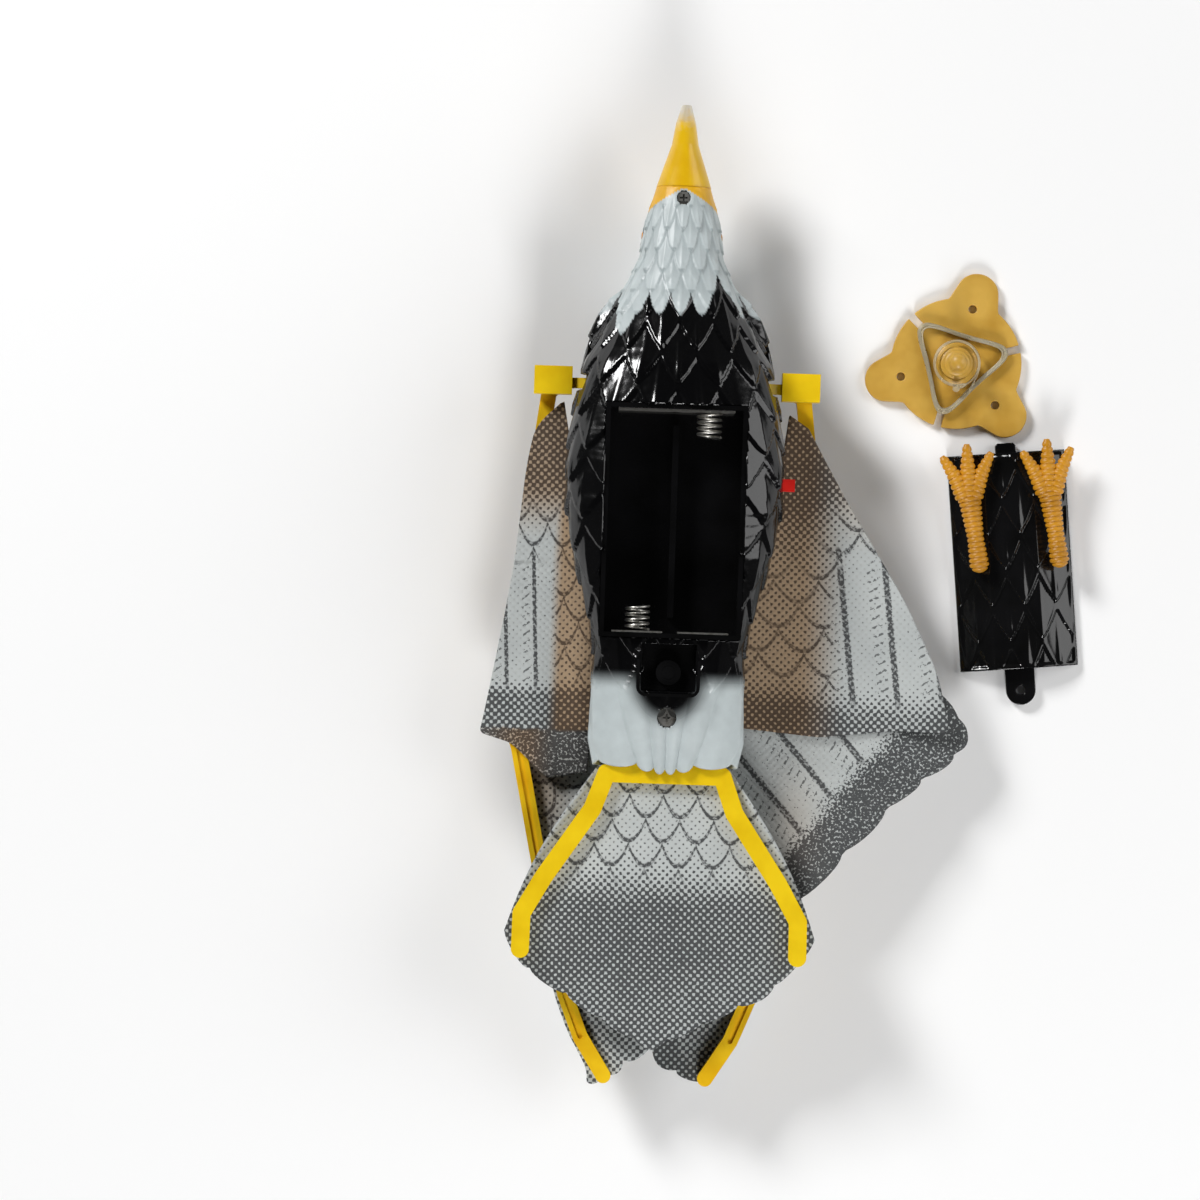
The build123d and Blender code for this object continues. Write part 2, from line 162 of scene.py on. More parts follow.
around = np.radians(np.arange(NOTCH, NOTCH + 360.0, 1.5))
reach = np.full(len(around), PLATE_REACH)
for petal in PETALS:
    turn = np.angle(np.exp(1j * (around - math.radians(petal))))
    across = PETAL_ROUND**2 - (PETAL_REACH * np.sin(turn)) ** 2
    lobe = PETAL_REACH * np.cos(turn) + np.sqrt(np.clip(across, 0, None))
    reach = np.where((across > 0) & (np.abs(turn) < 1), np.maximum(reach, lobe), reach)
reach = np.convolve(np.pad(reach, 3, mode="wrap"), np.ones(7) / 7, mode="valid")
plate_outline = []
for angle, r in zip(around, reach):
    degrees = math.degrees(angle) % 120
    if abs(degrees - NOTCH) < 4.0:
        if abs(degrees - NOTCH) < 0.1:
            for along, aside in ((PLATE_REACH - 0.1, -NOTCH_HALF), (NOTCH_FLOOR, -NOTCH_HALF),
                                 (NOTCH_FLOOR, NOTCH_HALF), (PLATE_REACH - 0.1, NOTCH_HALF)):
                plate_outline.append((along * math.cos(angle) - aside * math.sin(angle),
                                      along * math.sin(angle) + aside * math.cos(angle)))
        continue
    plate_outline.append((r * math.cos(angle), r * math.sin(angle)))


def flat_plate(name, outlines, thickness, edge, place):
    """A flat plate with rounded edges, from outlines in millimetres; inner outlines are holes."""
    curve = bpy.data.curves.new(name, "CURVE")
    curve.dimensions = "2D"
    curve.fill_mode = "BOTH"
    curve.extrude = (thickness / 2 - edge) * MM
    curve.bevel_depth = edge * MM
    curve.bevel_resolution = 3
    for outline in outlines:
        spline = curve.splines.new("POLY")
        spline.points.add(len(outline) - 1)
        spline.use_cyclic_u = True
        for point, (px, py) in zip(spline.points, outline):
            point.co = (px * MM, py * MM, 0, 1)
    pattern = bpy.data.objects.new(name + "_pattern", curve)
    cut = bpy.data.meshes.new_from_object(pattern)
    work = bmesh.new()
    work.from_mesh(cut)
    bpy.data.objects.remove(pattern)
    bpy.data.curves.remove(curve)
    bpy.data.meshes.remove(cut)
    bmesh.ops.remove_doubles(work, verts=work.verts, dist=1e-6)
    bmesh.ops.recalc_face_normals(work, faces=work.faces)
    return mesh_piece(name, work, place)


outlines = [plate_outline]
for petal in PETALS:
    hole_x = NAIL_REACH * math.cos(math.radians(petal))
    hole_y = NAIL_REACH * math.sin(math.radians(petal))
    outlines.append([(hole_x + NAIL_HOLE * math.cos(a), hole_y + NAIL_HOLE * math.sin(a))
                     for a in np.linspace(0, math.tau, 25)[:-1]])
bracket_plate = flat_plate("bracket_plate", outlines, PLATE, 0.25,
                           Matrix.Translation(BRACKET + Vector((0, 0, PLATE / 2)) * MM))
bracket_plate.data.materials.append(tan_polypropylene)

# radius and height of the hub's steps, waist and rounded head
hub_profile = [(0.0, 1.9), (5.6, 1.9), (5.6, 2.7), (5.3, 3.1), (4.5, 3.2), (4.4, 4.3), (4.1, 4.6),
               (3.5, 4.7), (3.4, 5.9), (3.1, 6.2), (2.6, 6.3), (2.4, 8.2), (1.9, 9.2), (2.1, 10.0),
               (2.3, 11.0), (2.1, 12.1), (1.4, 12.9), (0.0, 13.2)]
work = bmesh.new()
line = [work.verts.new((r * MM, 0, h * MM)) for r, h in hub_profile]
edges = [work.edges.new(pair) for pair in zip(line, line[1:])]
bmesh.ops.spin(work, geom=line + edges, cent=(0, 0, 0), axis=(0, 0, 1), angle=math.tau, steps=56,
               use_merge=True)
bmesh.ops.remove_doubles(work, verts=work.verts, dist=1e-6)
bmesh.ops.recalc_face_normals(work, faces=work.faces)
bracket_hub = mesh_piece("bracket_hub", work, Matrix.Translation(BRACKET))
bracket_hub.data.shade_smooth()
bracket_hub.data.materials.append(tan_polypropylene)
for piece in (bracket_plate, bracket_hub):
    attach(piece, "bracket")
    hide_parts("ceiling_bracket")

LINE_DIAMETER = 0.0005
LINE_TURNS, LINE_LAYERS, HUB_TURNS = 9, 3, 2
random.seed(4)

# points round the three notches, then two loose turns round the hub and the run to the knot
route = []
for turn in range(LINE_TURNS):
    layer, row = turn % LINE_LAYERS, turn // LINE_LAYERS
    for corner in range(3):
        notch = NOTCH + 120 * corner
        reach = 13.0 + 0.55 * row + random.uniform(-0.15, 0.15)
        lift = 2.45 + 0.62 * layer + 0.1 * random.random()
        for step, share in ((-38, 0.60), (-18, 0.78), (-5, 0.97), (5, 0.97), (18, 0.78), (38, 0.60)):
            angle = math.radians(notch + step)
            route.append((reach * share * math.cos(angle), reach * share * math.sin(angle), lift))
for turn in range(HUB_TURNS):
    for step in range(12):
        angle = math.radians(330 + 30 * step)
        around = 6.2 - 0.25 * turn
        route.append((around * math.cos(angle), around * math.sin(angle), 4.9 + 0.5 * turn))
route.append((1.6, -6.4, 5.5))
route.append((0.0, -6.7, 5.6))

line_curve = bpy.data.curves.new("nylon_line", "CURVE")
line_curve.dimensions = "3D"
line_curve.bevel_depth = LINE_DIAMETER / 2
line_curve.bevel_resolution = 1
line_curve.resolution_u = 4
line_curve.use_fill_caps = True
line_spline = line_curve.splines.new("NURBS")
line_spline.points.add(len(route) - 1)
for point, (x, y, z) in zip(line_spline.points, route):
    point.co = (*(BRACKET + Vector((x, y, z)) * MM), 1.0)
line_spline.order_u = 3
line_spline.use_endpoint_u = True
nylon_line = place_in_scene("nylon_line", line_curve)

# Drawn nylon is clear and glossy; wound in layers it looks a little milky.
clear_nylon, tree, shader = new_material("monofilament nylon, clear")
place = add_node(tree, "ShaderNodeTexCoord").outputs["Object"]
haze = add_node(tree, "ShaderNodeTexNoise", {"Scale": 500.0}, {"Vector": place})
milk = add_node(tree, "ShaderNodeMapRange", {3: 0.2, 4: 0.4}, {0: haze.outputs["Fac"]})
tree.links.new(milk.outputs[0], shader.inputs["Roughness"])
shader.inputs["Base Color"].default_value = linear("#F2EBD2")
shader.inputs["Transmission Weight"].default_value = 0.75
shader.inputs["IOR"].default_value = 1.53
line_curve.materials.append(clear_nylon)
finish_node("line_knot", clear_nylon)

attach(nylon_line, "bracket")
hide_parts("line_winding")


# ---- Body halves ----
# Two black ABS half shells, gloss moulded with rows of feathers in relief, sprayed white at the head and
# rump and black round the eyes. They meet in a flat seam at mid height, screwed at chin and rump.
SEAM = 28.0
SHELL_WALL = 1.5
SECTIONS = np.array([
    # y, half width, back, belly
    (56.0, 6.6, 17.0, 29.8),
    (50.0, 8.3, 13.5, 31.6),
    (43.0, 10.2, 10.8, 34.0),
    (35.0, 11.2, 9.5, 35.5),
    (28.0, 14.6, 9.5, 37.5),
    (20.0, 18.6, 10.5, 40.5),
    (8.0, 24.4, 13.5, 44.5),
    (-4.0, 26.8, 16.5, 47.0),
    (-18.0, 28.5, 19.5, 48.5),
    (-30.0, 28.0, 21.5, 49.0),
    (-42.0, 25.8, 22.0, 48.5),
    (-55.0, 22.2, 22.5, 46.5),
    (-66.0, 19.7, 23.0, 44.0),
    (-78.0, 20.2, 24.5, 40.0),
    (-90.0, 20.5, 25.5, 36.5),
    (-96.0, 19.0, 26.0, 34.5),
])
HUMP_LEVELS = np.array([(0.0, 15.0, 23.0), (3.0, 18.5, 26.5), (10.0, 22.0, 29.5), (26.0, 25.0, 32.0)])
HUMP_MIDDLE = -2.0
CHIN_SCREW, RUMP_SCREW = 51.0, -83.7
COLUMNS = 15          # feathers round the body
ROW = 8.8             # distance between feather rows
FAR = 300.0           # past everything: an opening that has no face on that side


def smoothstep(value, low, high):
    share = np.clip((value - low) / (high - low), 0, 1)
    return share * share * (3 - 2 * share)


def section(y, column):
    return np.interp(y, SECTIONS[::-1, 0], SECTIONS[::-1, column])


def inside_body(x, y, z):
    half, back, belly = section(y, 1), section(y, 2), section(y, 3)
    main = np.abs(x / half) ** 2.4 + np.abs((z - (back + belly) / 2) / ((belly - back) / 2)) ** 2.4 < 1
    wide = np.interp(z, HUMP_LEVELS[:, 0], HUMP_LEVELS[:, 1])
    long = np.interp(z, HUMP_LEVELS[:, 0], HUMP_LEVELS[:, 2])
    hump = (np.abs(x / wide) ** 2.8 + np.abs((y - HUMP_MIDDLE) / long) ** 2.8 < 1) & (z > 0) & (z < 28)
    return main | hump


def body_centre(y):
    """Height of the line that the surface is measured from."""
    return np.minimum(SEAM, (section(y, 2) + section(y, 3)) / 2)


def body_radius(angles, rows):
    """Distance from the body's centre line to its surface, softened where the hump joins."""
    radius = np.zeros((len(rows), len(angles)))
    y, a = np.meshgrid(rows, angles, indexing="ij")
    centre = body_centre(y)
    for reach in np.arange(0.25, 40.0, 0.25):
        radius[inside_body(reach * np.cos(a), y, centre + reach * np.sin(a))] = reach
    for _ in range(3):
        padded = np.pad(radius, 1, mode="edge")
        radius = (padded[:-2, 1:-1] + padded[2:, 1:-1] + padded[1:-1, :-2] + padded[1:-1, 2:]
                  + 2 * radius) / 6
    return radius


def feather_rows(around, along, columns, row, length, point, power=0.85):
    """The uppermost feather at each place: relief, row number, column number, share of its length."""
    relief = np.zeros_like(around)
    owner_row = np.zeros_like(around)
    owner_column = np.zeros_like(around)
    share = np.zeros_like(around)
    taken = np.zeros(around.shape, bool)
    base_row = np.floor(along / row)
    for ahead in (3, 2, 1, 0):
        number = base_row + ahead
        tau = (number * row - along) / length
        shift = np.where(number % 2 == 0, 0.0, 0.5)
        column = np.round(around * columns - shift)
        aside = around * columns - shift - column
        half = 0.55 * np.clip((1 - tau) * point, 0, 1) ** power
        hit = ~taken & (tau > 0) & (tau < 1) & (np.abs(aside) < half)
        edge = np.clip(1 - np.abs(aside) / np.maximum(half, 1e-6), 0, 1)
        rise = 0.1 + 0.9 * np.clip(tau, 0, 1) ** 1.4
        quill = np.exp(-((aside / 0.06) ** 2)) * (1 - smoothstep(tau, 0.8, 0.92))
        rim = np.exp(-(((edge - 0.14) / 0.1) ** 2))
        height = rise * (0.72 + 0.28 * edge**0.7 + 0.2 * quill + 0.16 * rim)
        relief[hit] = height[hit]
        owner_row[hit] = number[hit]
        owner_column[hit] = column[hit]
        share[hit] = tau[hit]
        taken |= hit
    return relief, owner_row, owner_column, share


def grid_object(name, rows, columns):
    """A flat grid whose vertices are then moved into place, as an array of rows by columns."""
    work = bmesh.new()
    bmesh.ops.create_grid(work, x_segments=columns - 1, y_segments=rows - 1, size=1.0)
    work.verts.ensure_lookup_table()
    order = sorted(range(len(work.verts)), key=lambda i: (work.verts[i].co.y, work.verts[i].co.x))
    return mesh_piece(name, work), np.array(order)


def place_points(piece, order, x, y, z):
    points = np.zeros((len(order), 3))
    points[order] = np.stack([x.ravel(), y.ravel(), z.ravel()], axis=1) * MM
    piece.data.vertices.foreach_set("co", points.astype(np.float32).ravel())
    piece.data.update()


def paint_points(piece, order, name, colours):
    """Stores one colour for each vertex."""
    layer = piece.data.color_attributes.new(name, "FLOAT_COLOR", "POINT")
    values = np.ones((len(order), 4))
    values[order, :3] = colours.reshape(-1, 3)
    layer.data.foreach_set("color", values.astype(np.float32).ravel())


def add_wall(piece, thickness, offset=-1.0):
    wall = piece.modifiers.new("wall", "SOLIDIFY")
    wall.thickness = thickness * MM
    wall.offset = offset
    wall.use_even_offset = False


def mix(first, second, share):
    return first * (1 - share[..., None]) + second * share[..., None]


def rgb(code):
    return np.array(linear(code)[:3])


def shell_half(name, start, stop, openings):
    """Half of the body between two angles, feathered, painted, and cut open at boxes in millimetres."""
    angles = np.linspace(math.radians(start), math.radians(stop), 150)
    rows = np.linspace(-96.0, 54.0, 330)
    radius = body_radius(angles, rows)
    y, a = np.meshgrid(rows, angles, indexing="ij")
    around = (a - math.pi / 2) / math.tau
    neck = smoothstep(y, 22.0, 34.0)
    belt = around - 0.3 * np.sin(4 * math.pi * around) / (4 * math.pi)
    relief, _, _, _ = feather_rows(belt, y - 1.5, COLUMNS, ROW, ROW * 1.9, 2.2)
    fine, fine_number, fine_column, fine_share = feather_rows(around, y, 17, 5.6, 5.6 * 2.4, 1.9, 0.55)
    lift = relief * 1.5 * (1 - neck) + fine * 1.15 * neck
    lift *= smoothstep(y, -96.0, -88.0) * 0.6 + 0.4
    lift *= 1 - smoothstep(y, 44.0, 52.0)
    rump = smoothstep(-y, 74.0, 80.0)
    lobes = np.abs(np.sin(around * math.pi * 14))
    lift = lift * (1 - rump) + rump * 0.9 * lobes**0.5
    reach = radius + lift - 0.8 * (1 - smoothstep(y, 43.0, 50.0))
    x, z = reach * np.cos(a), body_centre(y) + reach * np.sin(a)
    seam_side = np.abs(np.sin(a)) < 0.02
    z = np.where(seam_side, body_centre(y), z)

    # where each feather is white or black: whole feathers, so that the edge is jagged
    ragged = 27.5 + 2.5 * np.sin(fine_column * 2.4) + 1.2 * np.sin(fine_column * 5.1)
    white = (fine_number * 5.6 > ragged + 3.0).astype(float)
    overspray = 1 - smoothstep(np.hypot(x, (y + 73.0) / 1.25), 6.5, 12.0)
    white = np.maximum(white, smoothstep(-y, 71.5, 77.0) * (1 - overspray))
    black, bluish, groove_shade_grey = rgb("#060607"), rgb("#BCC5C6"), rgb("#8D989A")
    # painted shade: the white feathers are painted a darker grey in the grooves between them and along the
    # row lines
    painted_groove_shade = np.where(fine_share > 0.93, 0.7, 0.0) + np.clip(0.62 - fine, 0, 0.6) * 1.3
    painted_groove_shade = np.clip(painted_groove_shade, 0, 1) * (1 - smoothstep(-y, 60, 70))
    head = mix(np.broadcast_to(bluish, y.shape + (3,)), np.broadcast_to(groove_shade_grey, y.shape + (3,)), painted_groove_shade)
    colour = mix(np.broadcast_to(black, y.shape + (3,)), head, white)
    flame = ((y - 40.5) / 7.5) ** 2 + ((z - 19.0 - 0.12 * (y - 40)) / 2.7) ** 2
    flame += 0.25 * np.sin(y * 2.3) * np.sin(z * 1.7)
    patch = (flame < 1) & (np.abs(x) > 4)
    colour[patch] = black
    yellow_edge = 53.4 - 6.2 * np.abs(np.cos(a)) ** 1.4 + np.where(np.sin(a) < 0, -2.0, 0.0)
    colour[y > yellow_edge] = rgb("#E0A90C")

    # recesses for the screws, their floors painted dark grey as painted shade
    for centre, hole in ((CHIN_SCREW, 1.8), (RUMP_SCREW, 2.5)):
        away = np.hypot(x, y - centre)
        sunk = (away < hole) & (np.sin(a) > 0)
        rim = (np.abs(away - hole) < 0.3) & (np.sin(a) > 0)
        pull = np.where(rim, hole / np.maximum(away, 1e-6), 1.0)
        x, y = x * pull, centre + (y - centre) * pull
        z = np.where(sunk, z - 1.2, z)
        colour[sunk] = rgb("#3A3A38")

    z = np.maximum(z, 0.02)
    y = y - smoothstep(-y, 91.0, 96.0) * (1.7 * lobes**0.6 - 1.0 + 1.8 * np.exp(-((x / 7) ** 2)))
    piece, order = grid_object(name, *y.shape)
    place_points(piece, order, x, y, z)
    paint_points(piece, order, "paint", colour)

    work = bmesh.new()
    work.from_mesh(piece.data)
    for box_low, box_high in openings:
        for axis in range(3):
            for limit in (box_low[axis], box_high[axis]):
                if abs(limit) < FAR:
                    near = [f for f in work.faces if all(
                        box_low[k] - 2 < f.calc_center_median()[k] / MM < box_high[k] + 2
                        for k in range(3))]
                    parts = set(near)
                    for face in near:
                        parts.update(face.edges)
                        parts.update(face.verts)
                    normal = [0.0, 0.0, 0.0]
                    normal[axis] = 1.0
                    spot = [0.0, 0.0, 0.0]
                    spot[axis] = limit * MM
                    bmesh.ops.bisect_plane(work, geom=list(parts), dist=1e-6, plane_co=spot,
                                           plane_no=normal)
        gone = [f for f in work.faces if all(
            box_low[k] < f.calc_center_median()[k] / MM < box_high[k] for k in range(3))]
        bmesh.ops.delete(work, geom=gone, context="FACES")
    bmesh.ops.reverse_faces(work, faces=work.faces)
    work.to_mesh(piece.data)
    work.free()
    piece.data.shade_smooth()
    return piece


# Gloss ABS shines where it is bare and turns satin under the sprayed white, which varies a little in tone
# and carries painted shade, a darker grey, in the grooves between its feathers.
painted_abs, tree, shader = new_material("gloss ABS, black with sprayed white")
place = add_node(tree, "ShaderNodeTexCoord").outputs["Object"]
paint = add_node(tree, "ShaderNodeAttribute", {"attribute_name": "paint"})
speckle = add_node(tree, "ShaderNodeTexNoise", {"Scale": 260.0, "Detail": 4.0}, {"Vector": place})
worn = add_node(tree, "ShaderNodeMapRange", {1: 0.35, 2: 0.7, 3: 0.94, 4: 1.04},
                {0: speckle.outputs["Fac"]})
aged = add_node(tree, "ShaderNodeVectorMath", {"operation": "SCALE"},
                {0: paint.outputs["Color"], "Scale": worn.outputs[0]})
tree.links.new(aged.outputs[0], shader.inputs["Base Color"])
value = add_node(tree, "ShaderNodeSeparateColor", {"mode": "HSV"}, {"Color": paint.outputs["Color"]})
gloss = add_node(tree, "ShaderNodeMapRange", {1: 0.02, 2: 0.6, 3: 0.13, 4: 0.42}, {0: value.outputs[2]})
tree.links.new(gloss.outputs[0], shader.inputs["Roughness"])
peel = add_node(tree, "ShaderNodeTexNoise", {"Scale": 900.0, "Detail": 2.0}, {"Vector": place})
bump = add_node(tree, "ShaderNodeBump", {"Strength": 0.2, "Distance": 0.00008},
                {"Height": peel.outputs["Fac"]})
tree.links.new(bump.outputs["Normal"], shader.inputs["Normal"])
shader.inputs["IOR"].default_value = 1.5

belly_openings = [
    ((-18.3, -63.2, 34.0), (18.3, -2.9, FAR)),      # battery bay
    ((-7.0, -77.0, 34.0), (7.0, -64.6, FAR)),       # latch recess
    ((20.0, 0.1, 20.0), (32.0, 4.6, 36.5)),         # arms
    ((-32.0, 0.1, 20.0), (-20.0, 4.6, 36.5)),
    ((24.0, -26.2, 30.1), (32.0, -18.4, 33.9)),     # switch
]
back_openings = [((18.0, 0.1, 18.5), (32.0, 4.6, 29.0)), ((-32.0, 0.1, 18.5), (-18.0, 4.6, 29.0))]
belly_piece = shell_half("belly_feathers", 0, 180, belly_openings)
back_piece = shell_half("back_feathers", 180, 360, back_openings)
for piece, node in ((belly_piece, "belly_shell"), (back_piece, "back_shell")):
    add_wall(piece, SHELL_WALL)
    piece.data.materials.append(painted_abs)
    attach(piece, "bird")
    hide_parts(node)


# ---- Latch recess behind the battery bay ----
# A black ABS pan moulded with the belly half, open towards the viewer. It takes the tab of the door, with a
# round boss for the tab's screw.
work = bmesh.new()
bmesh.ops.create_cube(work, size=1.0, matrix=Matrix.Translation((0, -0.0708, 0.03995))
                      @ Matrix.Diagonal((0.0148, 0.0132, 0.0047, 1)))
top = [face for face in work.faces if face.normal.z > 0.9]
bmesh.ops.delete(work, geom=top, context="FACES")
upright = [edge for edge in work.edges if abs(edge.verts[0].co.z - edge.verts[1].co.z) > 0.001]
bmesh.ops.bevel(work, geom=upright, offset=0.0016, segments=4, affect="EDGES", profile=0.5, material=-1)
bmesh.ops.create_cone(work, cap_ends=True, segments=40, radius1=0.0029, radius2=0.0027, depth=0.0016,
                      matrix=Matrix.Translation((0, -0.072, 0.0384)))
bmesh.ops.create_cone(work, cap_ends=True, segments=32, radius1=0.0011, radius2=0.0011, depth=0.0003,
                      matrix=Matrix.Translation((0, -0.072, 0.0392)))
latch_pan = mesh_piece("latch_pan", work)
add_wall(latch_pan, 0.8, 1.0)
black_abs = moulded_plastic("gloss ABS, black", "#101011", "#090909", 0.12, 1.6, 0.03)
latch_pan.data.materials.append(black_abs)
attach(latch_pan, "bird")
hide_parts("belly_shell")


# ---- Beak ----
# One moulded piece plugged into the head between the two halves. Golden yellow ABS, with the hooked tip
# rubbed pale by handling.
beak_abs = moulded_plastic("satin ABS, golden yellow", "#E6BA0A", "#D8A706", 0.33, subsurface=0.1)
tree = beak_abs.node_tree
shader = tree.nodes["Principled BSDF"]
place = add_node(tree, "ShaderNodeTexCoord").outputs["Object"]
blur = add_node(tree, "ShaderNodeTexNoise", {"Scale": 420.0, "Detail": 3.0}, {"Vector": place})
along = add_node(tree, "ShaderNodeSeparateXYZ", links={0: place}).outputs["Y"]
uneven = add_node(tree, "ShaderNodeMath", {"operation": "MULTIPLY_ADD", 1: 0.006},
                  {0: blur.outputs["Fac"], 2: along})
rubbed = add_node(tree, "ShaderNodeMapRange", {1: 0.0715, 2: 0.0765}, {0: uneven.outputs[0]})
under = shader.inputs["Base Color"].links[0].from_socket
pale = add_node(tree, "ShaderNodeMix", {"data_type": "RGBA", 7: linear("#CFC6B4")},
                {0: rubbed.outputs[0], 6: under})
tree.links.new(pale.outputs[2], shader.inputs["Base Color"])
finish_node("beak", beak_abs)


# ---- Eyes ----
# Low domes on the sides of the head, inside the black eye patch. Each is painted by hand with gloss enamel,
# a black pupil in an amber ring.
glass_paint, tree, shader = new_material("gloss enamel, black and amber")
paint = add_node(tree, "ShaderNodeAttribute", {"attribute_name": "paint"})
tree.links.new(paint.outputs["Color"], shader.inputs["Base Color"])
place = add_node(tree, "ShaderNodeTexCoord").outputs["Object"]
brush = add_node(tree, "ShaderNodeTexNoise", {"Scale": 1500.0}, {"Vector": place})
shine = add_node(tree, "ShaderNodeMapRange", {3: 0.05, 4: 0.14}, {0: brush.outputs["Fac"]})
tree.links.new(shine.outputs[0], shader.inputs["Roughness"])
shader.inputs["Coat Weight"].default_value = 0.6
for side in (-1, 1):
    rings, spokes = np.meshgrid(np.linspace(0.0, 1.0, 14), np.linspace(0, math.tau, 37), indexing="ij")
    dome = 1.9 * rings
    rise = 0.95 * np.sqrt(np.clip(1 - rings**2, 0, 1)) - 0.25
    eye, order = grid_object(f"eye_{'left' if side < 0 else 'right'}", *rings.shape)
    place_points(eye, order, side * (9.95 + rise), 41.2 + dome * np.cos(spokes),
                 19.4 + dome * np.sin(spokes))
    shades = np.where((rings < 0.45)[..., None], rgb("#050505"), rgb("#D98F1A"))
    shades = np.where((rings > 0.84)[..., None], rgb("#0A0908"), shades)
    paint_points(eye, order, "paint", shades)
    work = bmesh.new()
    work.from_mesh(eye.data)
    bmesh.ops.remove_doubles(work, verts=work.verts, dist=1e-6)
    bmesh.ops.holes_fill(work, edges=[edge for edge in work.edges if edge.is_boundary])
    bmesh.ops.recalc_face_normals(work, faces=work.faces)
    work.to_mesh(eye.data)
    work.free()
    eye.data.shade_smooth()
    eye.data.materials.append(glass_paint)
    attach(eye, "bird")


# ---- Battery tray and its contacts ----
# A separate gloss black ABS moulding for two cells, set into the bay of the belly half. Plate and coil
# spring contacts, nickel-plated steel, are pressed into slots at its ends.
def plated_metal(name, colour, roughness):
    """Plated metal: bright, with a little tarnish in its colour and gloss."""
    material, tree, shader = new_material(name)
    place = add_node(tree, "ShaderNodeTexCoord").outputs["Object"]
    tarnish = add_node(tree, "ShaderNodeTexNoise", {"Scale": 600.0, "Detail": 3.0}, {"Vector": place})
    tint = add_node(tree, "ShaderNodeValToRGB", links={"Fac": tarnish.outputs["Fac"]})
    tint.color_ramp.elements[0].color = linear("#7F7B72")
    tint.color_ramp.elements[0].position = 0.25
    tint.color_ramp.elements[1].color = linear(colour)
    tint.color_ramp.elements[1].position = 0.55
    tree.links.new(tint.outputs["Color"], shader.inputs["Base Color"])
    worn = add_node(tree, "ShaderNodeMapRange", {3: roughness * 1.5, 4: roughness * 0.7},
                    {0: tarnish.outputs["Fac"]})
    tree.links.new(worn.outputs[0], shader.inputs["Roughness"])
    shader.inputs["Metallic"].default_value = 1.0
    return material


tray_abs = moulded_plastic("gloss ABS, black, polished", "#0D0D0E", "#070707", 0.07, 2.0, 0.02)
nickel = plated_metal("plated nickel", "#D8D6D0", 0.36)
zinc = plated_metal("zinc plate", "#B9BBBD", 0.32)
finish_node("battery_tray", tray_abs)
for node in ("battery_contacts", "battery_springs", "shell_screws", "sheet_screw"):
    finish_node(node, nickel)


# ---- Slide switch ----
# A black ABS housing fixed inside the right flank. Its red knob stands through a slot in the shell and
# slides along the body.
red_abs = moulded_plastic("satin ABS, red", "#E8241C", "#C2150F", 0.35, 0.5, 0.05, 0.1)
finish_node("switch_housing", black_abs)
finish_node("switch_slider", red_abs)


# ---- Flapping drive ----
# A small zinc-cased motor drives natural nylon gears on plated steel axles. A black ABS frame over the hump
# carries them and the pivots of the two arms.
nylon = moulded_plastic("nylon, natural", "#E9E4D6", "#D6CFBB", 0.45, 0.6, 0.05, 0.4)
satin_black = moulded_plastic("satin ABS, black", "#1B1B1C", "#111112", 0.4, 0.8, 0.05)
for node in ("motor_pinion", "reduction_gear", "crank_gear"):
    finish_node(node, nylon)
for node in ("reduction_axle", "arm_pivots"):
    finish_node(node, nickel)
finish_node("motor", zinc)
finish_node("gear_frame", satin_black)


# ---- Arms and wing spars ----
# Bright yellow polypropylene with a satin skin. Each arm ends in a socket block, and a flat spar with one
# long groove swings in it on a plated pin.
socket_yellow = moulded_plastic("satin polypropylene, yellow", "#EFCB0C", "#E0B804", 0.36, subsurface=0.2)
spar_yellow = moulded_plastic("satin polypropylene, deep yellow", "#F0C512", "#DDA906", 0.36,
                              subsurface=0.2)
for side in ("left", "right"):
    finish_node(f"arm_{side}", socket_yellow)
    finish_node(f"fold_pin_{side}", nickel)
    finish_node(f"spar_{side}", spar_yellow)


# ---- Printed wing, back and tail sheets ----
# Spun-bonded polypropylene about a quarter of a millimetre thick, point-bonded in diamonds and printed
# with feathers in a halftone that shows through the back. Each is welded or screwed along one edge only.
DOT_PITCH = 0.002       # metres between bond points, drawn coarse enough to show
SCALLOP_ROW = 6.4       # millimetres between rows of printed scallops
CLOTH_WALL = 0.28       # a little thick, so that the edge shows


# Spun-bonded cloth is matt and faintly fibrous. The print is black and brown ink on off-white, in halftone
# dots where the feathers shade, and in grainy strokes along their edges and barbs.
printed_cloth, tree, shader = new_material("spun-bonded polypropylene, printed")
flat = add_node(tree, "ShaderNodeUVMap", {"uv_map": "flat"}).outputs["UV"]
flat_xy = add_node(tree, "ShaderNodeSeparateXYZ", links={0: flat})
fibre = add_node(tree, "ShaderNodeTexNoise", {"Scale": 1500.0, "Detail": 4.0}, {"Vector": flat})
mottle = add_node(tree, "ShaderNodeTexNoise", {"Scale": 70.0, "Detail": 3.0}, {"Vector": flat})
tone = add_node(tree, "ShaderNodeAttribute", {"attribute_name": "tone"})
feather = add_node(tree, "ShaderNodeAttribute", {"attribute_name": "feather"})
value = {"across": flat_xy.outputs["X"], "down": flat_xy.outputs["Y"], "fibre": fibre.outputs["Fac"],
         "mottle": mottle.outputs["Fac"]}
value.update(zip(("brown", "shade", "solid"), add_node(
    tree, "ShaderNodeSeparateColor", links={0: tone.outputs["Color"]}).outputs))
value.update(zip(("number", "reach", "covert"), add_node(
    tree, "ShaderNodeSeparateXYZ", links={0: feather.outputs["Vector"]}).outputs))

